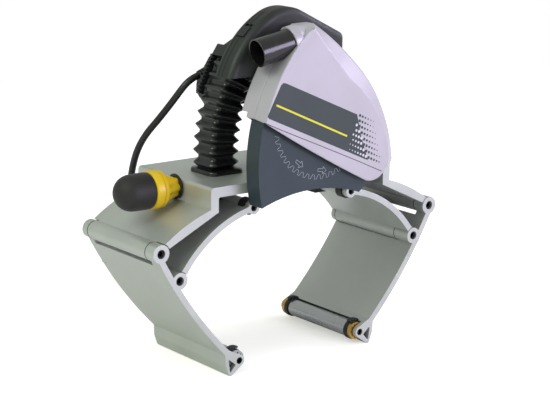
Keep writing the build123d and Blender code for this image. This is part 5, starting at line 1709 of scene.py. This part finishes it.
@dataclass
class Guards:
    """The silver upper guard and the slate lower guard with their print and the painted shade of a
    step, in millimetres.
    """

    front: float = -36.0
    lower_front: float = -26.0
    panel_outline: Profile = (
        (-81.0, 296.2),
        (-79.4, 294.0),
        (-76.8, 292.6),
        (62.0, 231.6),
        (50.5, 262.5),
        (44.6, 285.4),
        (-56.6, 329.6),
        (-60.4, 330.2),
        (-63.4, 328.0),
    )
    panel_lift: float = 0.12
    stripe_line: Profile = ((-69.4, 307.3), (30.5, 262.6))
    stripe_width: float = 2.1
    stripe_lift: float = 0.2
    # The dark line of painted shade along the step above the lens-shaped lower strip: its points,
    # width and lift.
    step_shade_line: Profile = (
        (-86.0, 290.0),
        (-60.0, 278.6),
        (-36.3, 268.4),
        (-8.0, 256.4),
        (20.9, 244.0),
        (52.0, 230.4),
        (83.0, 216.4),
    )
    step_shade_width: float = 0.7
    step_shade_lift: float = 0.14
    # The grid of the dots: its start, its two directions, and the steps along and across.
    dot_origin: Flat = (36.0, 240.5)
    dot_along: Flat = (0.913, -0.408)
    dot_across: Flat = (0.408, 0.913)
    dot_rows: int = 9
    dot_columns: int = 13
    dot_pitch: float = 4.4
    dot_lead: float = 6.0
    row_pitch: float = 5.6
    # The knee of the panel's right edge, and how it slants over and under that knee.
    knee: Flat = (50.5, 262.5)
    slant_over: float = 0.258
    slant_under: float = 0.372
    # A dot's width at that edge, what it loses per millimetre from it, and its least width.
    dot_size: float = 3.7
    dot_shrink: float = 0.13
    dot_least: float = 1.1
    # The first dots stand this far before the edge.
    fade_length: float = 22
    # Where the print ends on the right: x at a height, and its slant.
    print_end: Flat = (84, 220)
    print_slant: float = 0.27
    # A point of the panel's lower edge, and its slope.
    panel_foot: Flat = (-76.8, 295.0)
    panel_slope: float = 0.4395
    dot_lift: float = 0.22
    dot_sides: int = 12
    # The blade's picture: its middle, teeth, angles, and shares and radii of a tooth.
    blade_x: float = 2.0
    blade_z: float = 282.4
    teeth: int = 15
    teeth_first: float = 190
    teeth_last: float = 302
    tooth_shape: Profile = ((0.0, 66.0), (0.3, 61.0), (0.62, 61.5), (0.72, 66.5))
    teeth_width: float = 0.42
    # The arrows: place and turn of each, and their outline.
    arrows: Tuple[Point, ...] = ((-33.0, 240.5, -38.0), (-2.0, 226.5, -8.0))
    arrow_outline: Profile = (
        (0, 1.6),
        (7, 1.6),
        (7, 4.2),
        (12, 0),
        (7, -4.2),
        (7, -1.6),
        (0, -1.6),
        (0, 1.6),
    )
    arrow_width: float = 0.45
    line_lift: float = 0.15

    def panel(self, shop: Shop) -> None:
        """Prints the charcoal panel with its rounded left corners and slanting right end."""
        mesh = decal("guard_panel", self.panel_outline, self.front, self.panel_lift)
        shop.keep("guard_panel", mesh, PRINT_GREY, "motor_unit")

    def stripe(self, shop: Shop) -> None:
        """Prints the thin yellow line over the panel.

        Args:
            shop: Where the piece is finished.
        """
        outline = ribbon(self.stripe_line, self.stripe_width)
        mesh = decal("guard_stripe", outline, self.front, self.stripe_lift)
        shop.keep("guard_stripe", mesh, PRINT_YELLOW, "motor_unit")

    def dot(self, place: Vector) -> Optional[Flat]:
        """Decides on the dot at one place of the grid.

        Args:
            place: The dot's middle in x and z.

        Returns:
            How far it lies past the panel's right edge, and its width; or nothing where the
            print has no dot.
        """
        slant = self.slant_over if place.y > self.knee[1] else self.slant_under
        past = place.x - (self.knee[0] + (self.knee[1] - place.y) * slant)
        end = self.print_end[0] - self.print_slant * (place.y - self.print_end[1])
        foot = self.panel_foot[1] - self.panel_slope * (place.x - self.panel_foot[0])
        if place.x > end or past < -self.fade_length or place.y < foot:
            return None
        return past, max(self.dot_size - self.dot_shrink * abs(past), self.dot_least)

    def dots(self, shop: Shop) -> None:
        """Prints rows of dots, widest at the panel's right edge: pale before it, dark past it.

        Args:
            shop: Where the pieces are finished.
        """
        pale, grey = bmesh.new(), bmesh.new()
        origin, along = Vector(self.dot_origin), Vector(self.dot_along)
        across = Vector(self.dot_across)
        for row in range(self.dot_rows):
            for column in range(self.dot_columns):
                shift = column * self.dot_pitch + (row % 2) * (self.dot_pitch / 2) - self.dot_lead
                place = origin + along * shift + across * (row * self.row_pitch)
                printed = self.dot(place)
                if printed is None:
                    continue
                past, size = printed
                target = pale if past < 0 else grey
                rim = [
                    at(place.x + size / 2 * c, self.front - self.dot_lift, place.y + size / 2 * s)
                    for c, s in circle(self.dot_sides)
                ]
                target.faces.new([target.verts.new(point) for point in rim])
        for name, cloud, finish, slot in (
            ("guard_dots_pale", pale, PRINT_PALE, "guard_silver"),
            ("guard_dots_grey", grey, PRINT_GREY, "guard_grey"),
        ):
            mesh = bpy.data.meshes.new(name)
            bmesh.ops.recalc_face_normals(cloud, faces=cloud.faces)
            cloud.to_mesh(mesh)
            cloud.free()
            shop.keep(name, mesh, finish, "motor_unit")

    def line(self, shop: Shop, name: str, path: Sequence[Flat], width: float) -> None:
        """Prints one fine line on the lower guard.

        Args:
            shop: Where the piece is finished.
            name: The piece's name.
            path: Points of the line.
            width: Its width.
        """
        mesh = decal(name, ribbon(path, width), self.lower_front, self.line_lift)
        shop.keep(name, mesh, PRINT_LINE, "lower_guard")

    def blade_picture(self, shop: Shop) -> None:
        """Prints the fine outline of the blade's teeth and the arrows of its turn.

        Args:
            shop: Where the pieces are finished.
        """
        path: List[Flat] = []
        swing = self.teeth_last - self.teeth_first
        for tooth in range(self.teeth):
            for share, radius in self.tooth_shape:
                angle = math.radians(self.teeth_first + swing * (tooth + share) / self.teeth)
                x = self.blade_x + radius * math.cos(angle)
                path.append((x, self.blade_z + radius * math.sin(angle)))
        self.line(shop, "guard_blade_line", path, self.teeth_width)
        for index, (x, z, turn) in enumerate(self.arrows):
            c, s = math.cos(math.radians(turn)), math.sin(math.radians(turn))
            arrow = [(x + a * c - b * s, z + a * s + b * c) for a, b in self.arrow_outline]
            for stroke, pair in enumerate(zip(arrow, arrow[1:])):
                self.line(shop, f"guard_arrow_{index}_{stroke}", pair, self.arrow_width)

    def paint_step_shade(self, shop: Shop) -> None:
        """Paints the shade of the step above the lens-shaped lower strip of the guard as a dark
        line.

        Args:
            shop: Where the piece is finished.
        """
        outline = ribbon(self.step_shade_line, self.step_shade_width)
        mesh = decal("guard_step_shade", outline, self.front, self.step_shade_lift)
        shop.keep("guard_step_shade", mesh, PAINTED_GAP_SHADE, "motor_unit")

    def build(self, shop: Shop) -> None:
        """Dresses both guards, prints them and paints the shade along the step of the upper guard.

        Args:
            shop: Where the pieces are finished.
        """
        shop.dress(SILVER_COAT, "guard_front_cover", "guard_rear_shell")
        shop.dress(SLATE_COAT, "lower_guard")
        self.panel(shop)
        self.stripe(shop)
        self.dots(shop)
        self.blade_picture(shop)
        self.paint_step_shade(shop)


def main() -> None:
    """Builds the dressed model in order."""
    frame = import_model()
    shop = Shop(frame)
    Studio().build()
    for assembly in (MainsCord(), Clamp(), ClampScrew(), Bellows(), MotorUnit(), Guards()):
        assembly.build(shop)
        LOG.info("%s built", type(assembly).__name__)


if __name__ == "__main__":
    logging.basicConfig(level=logging.INFO)
    main()
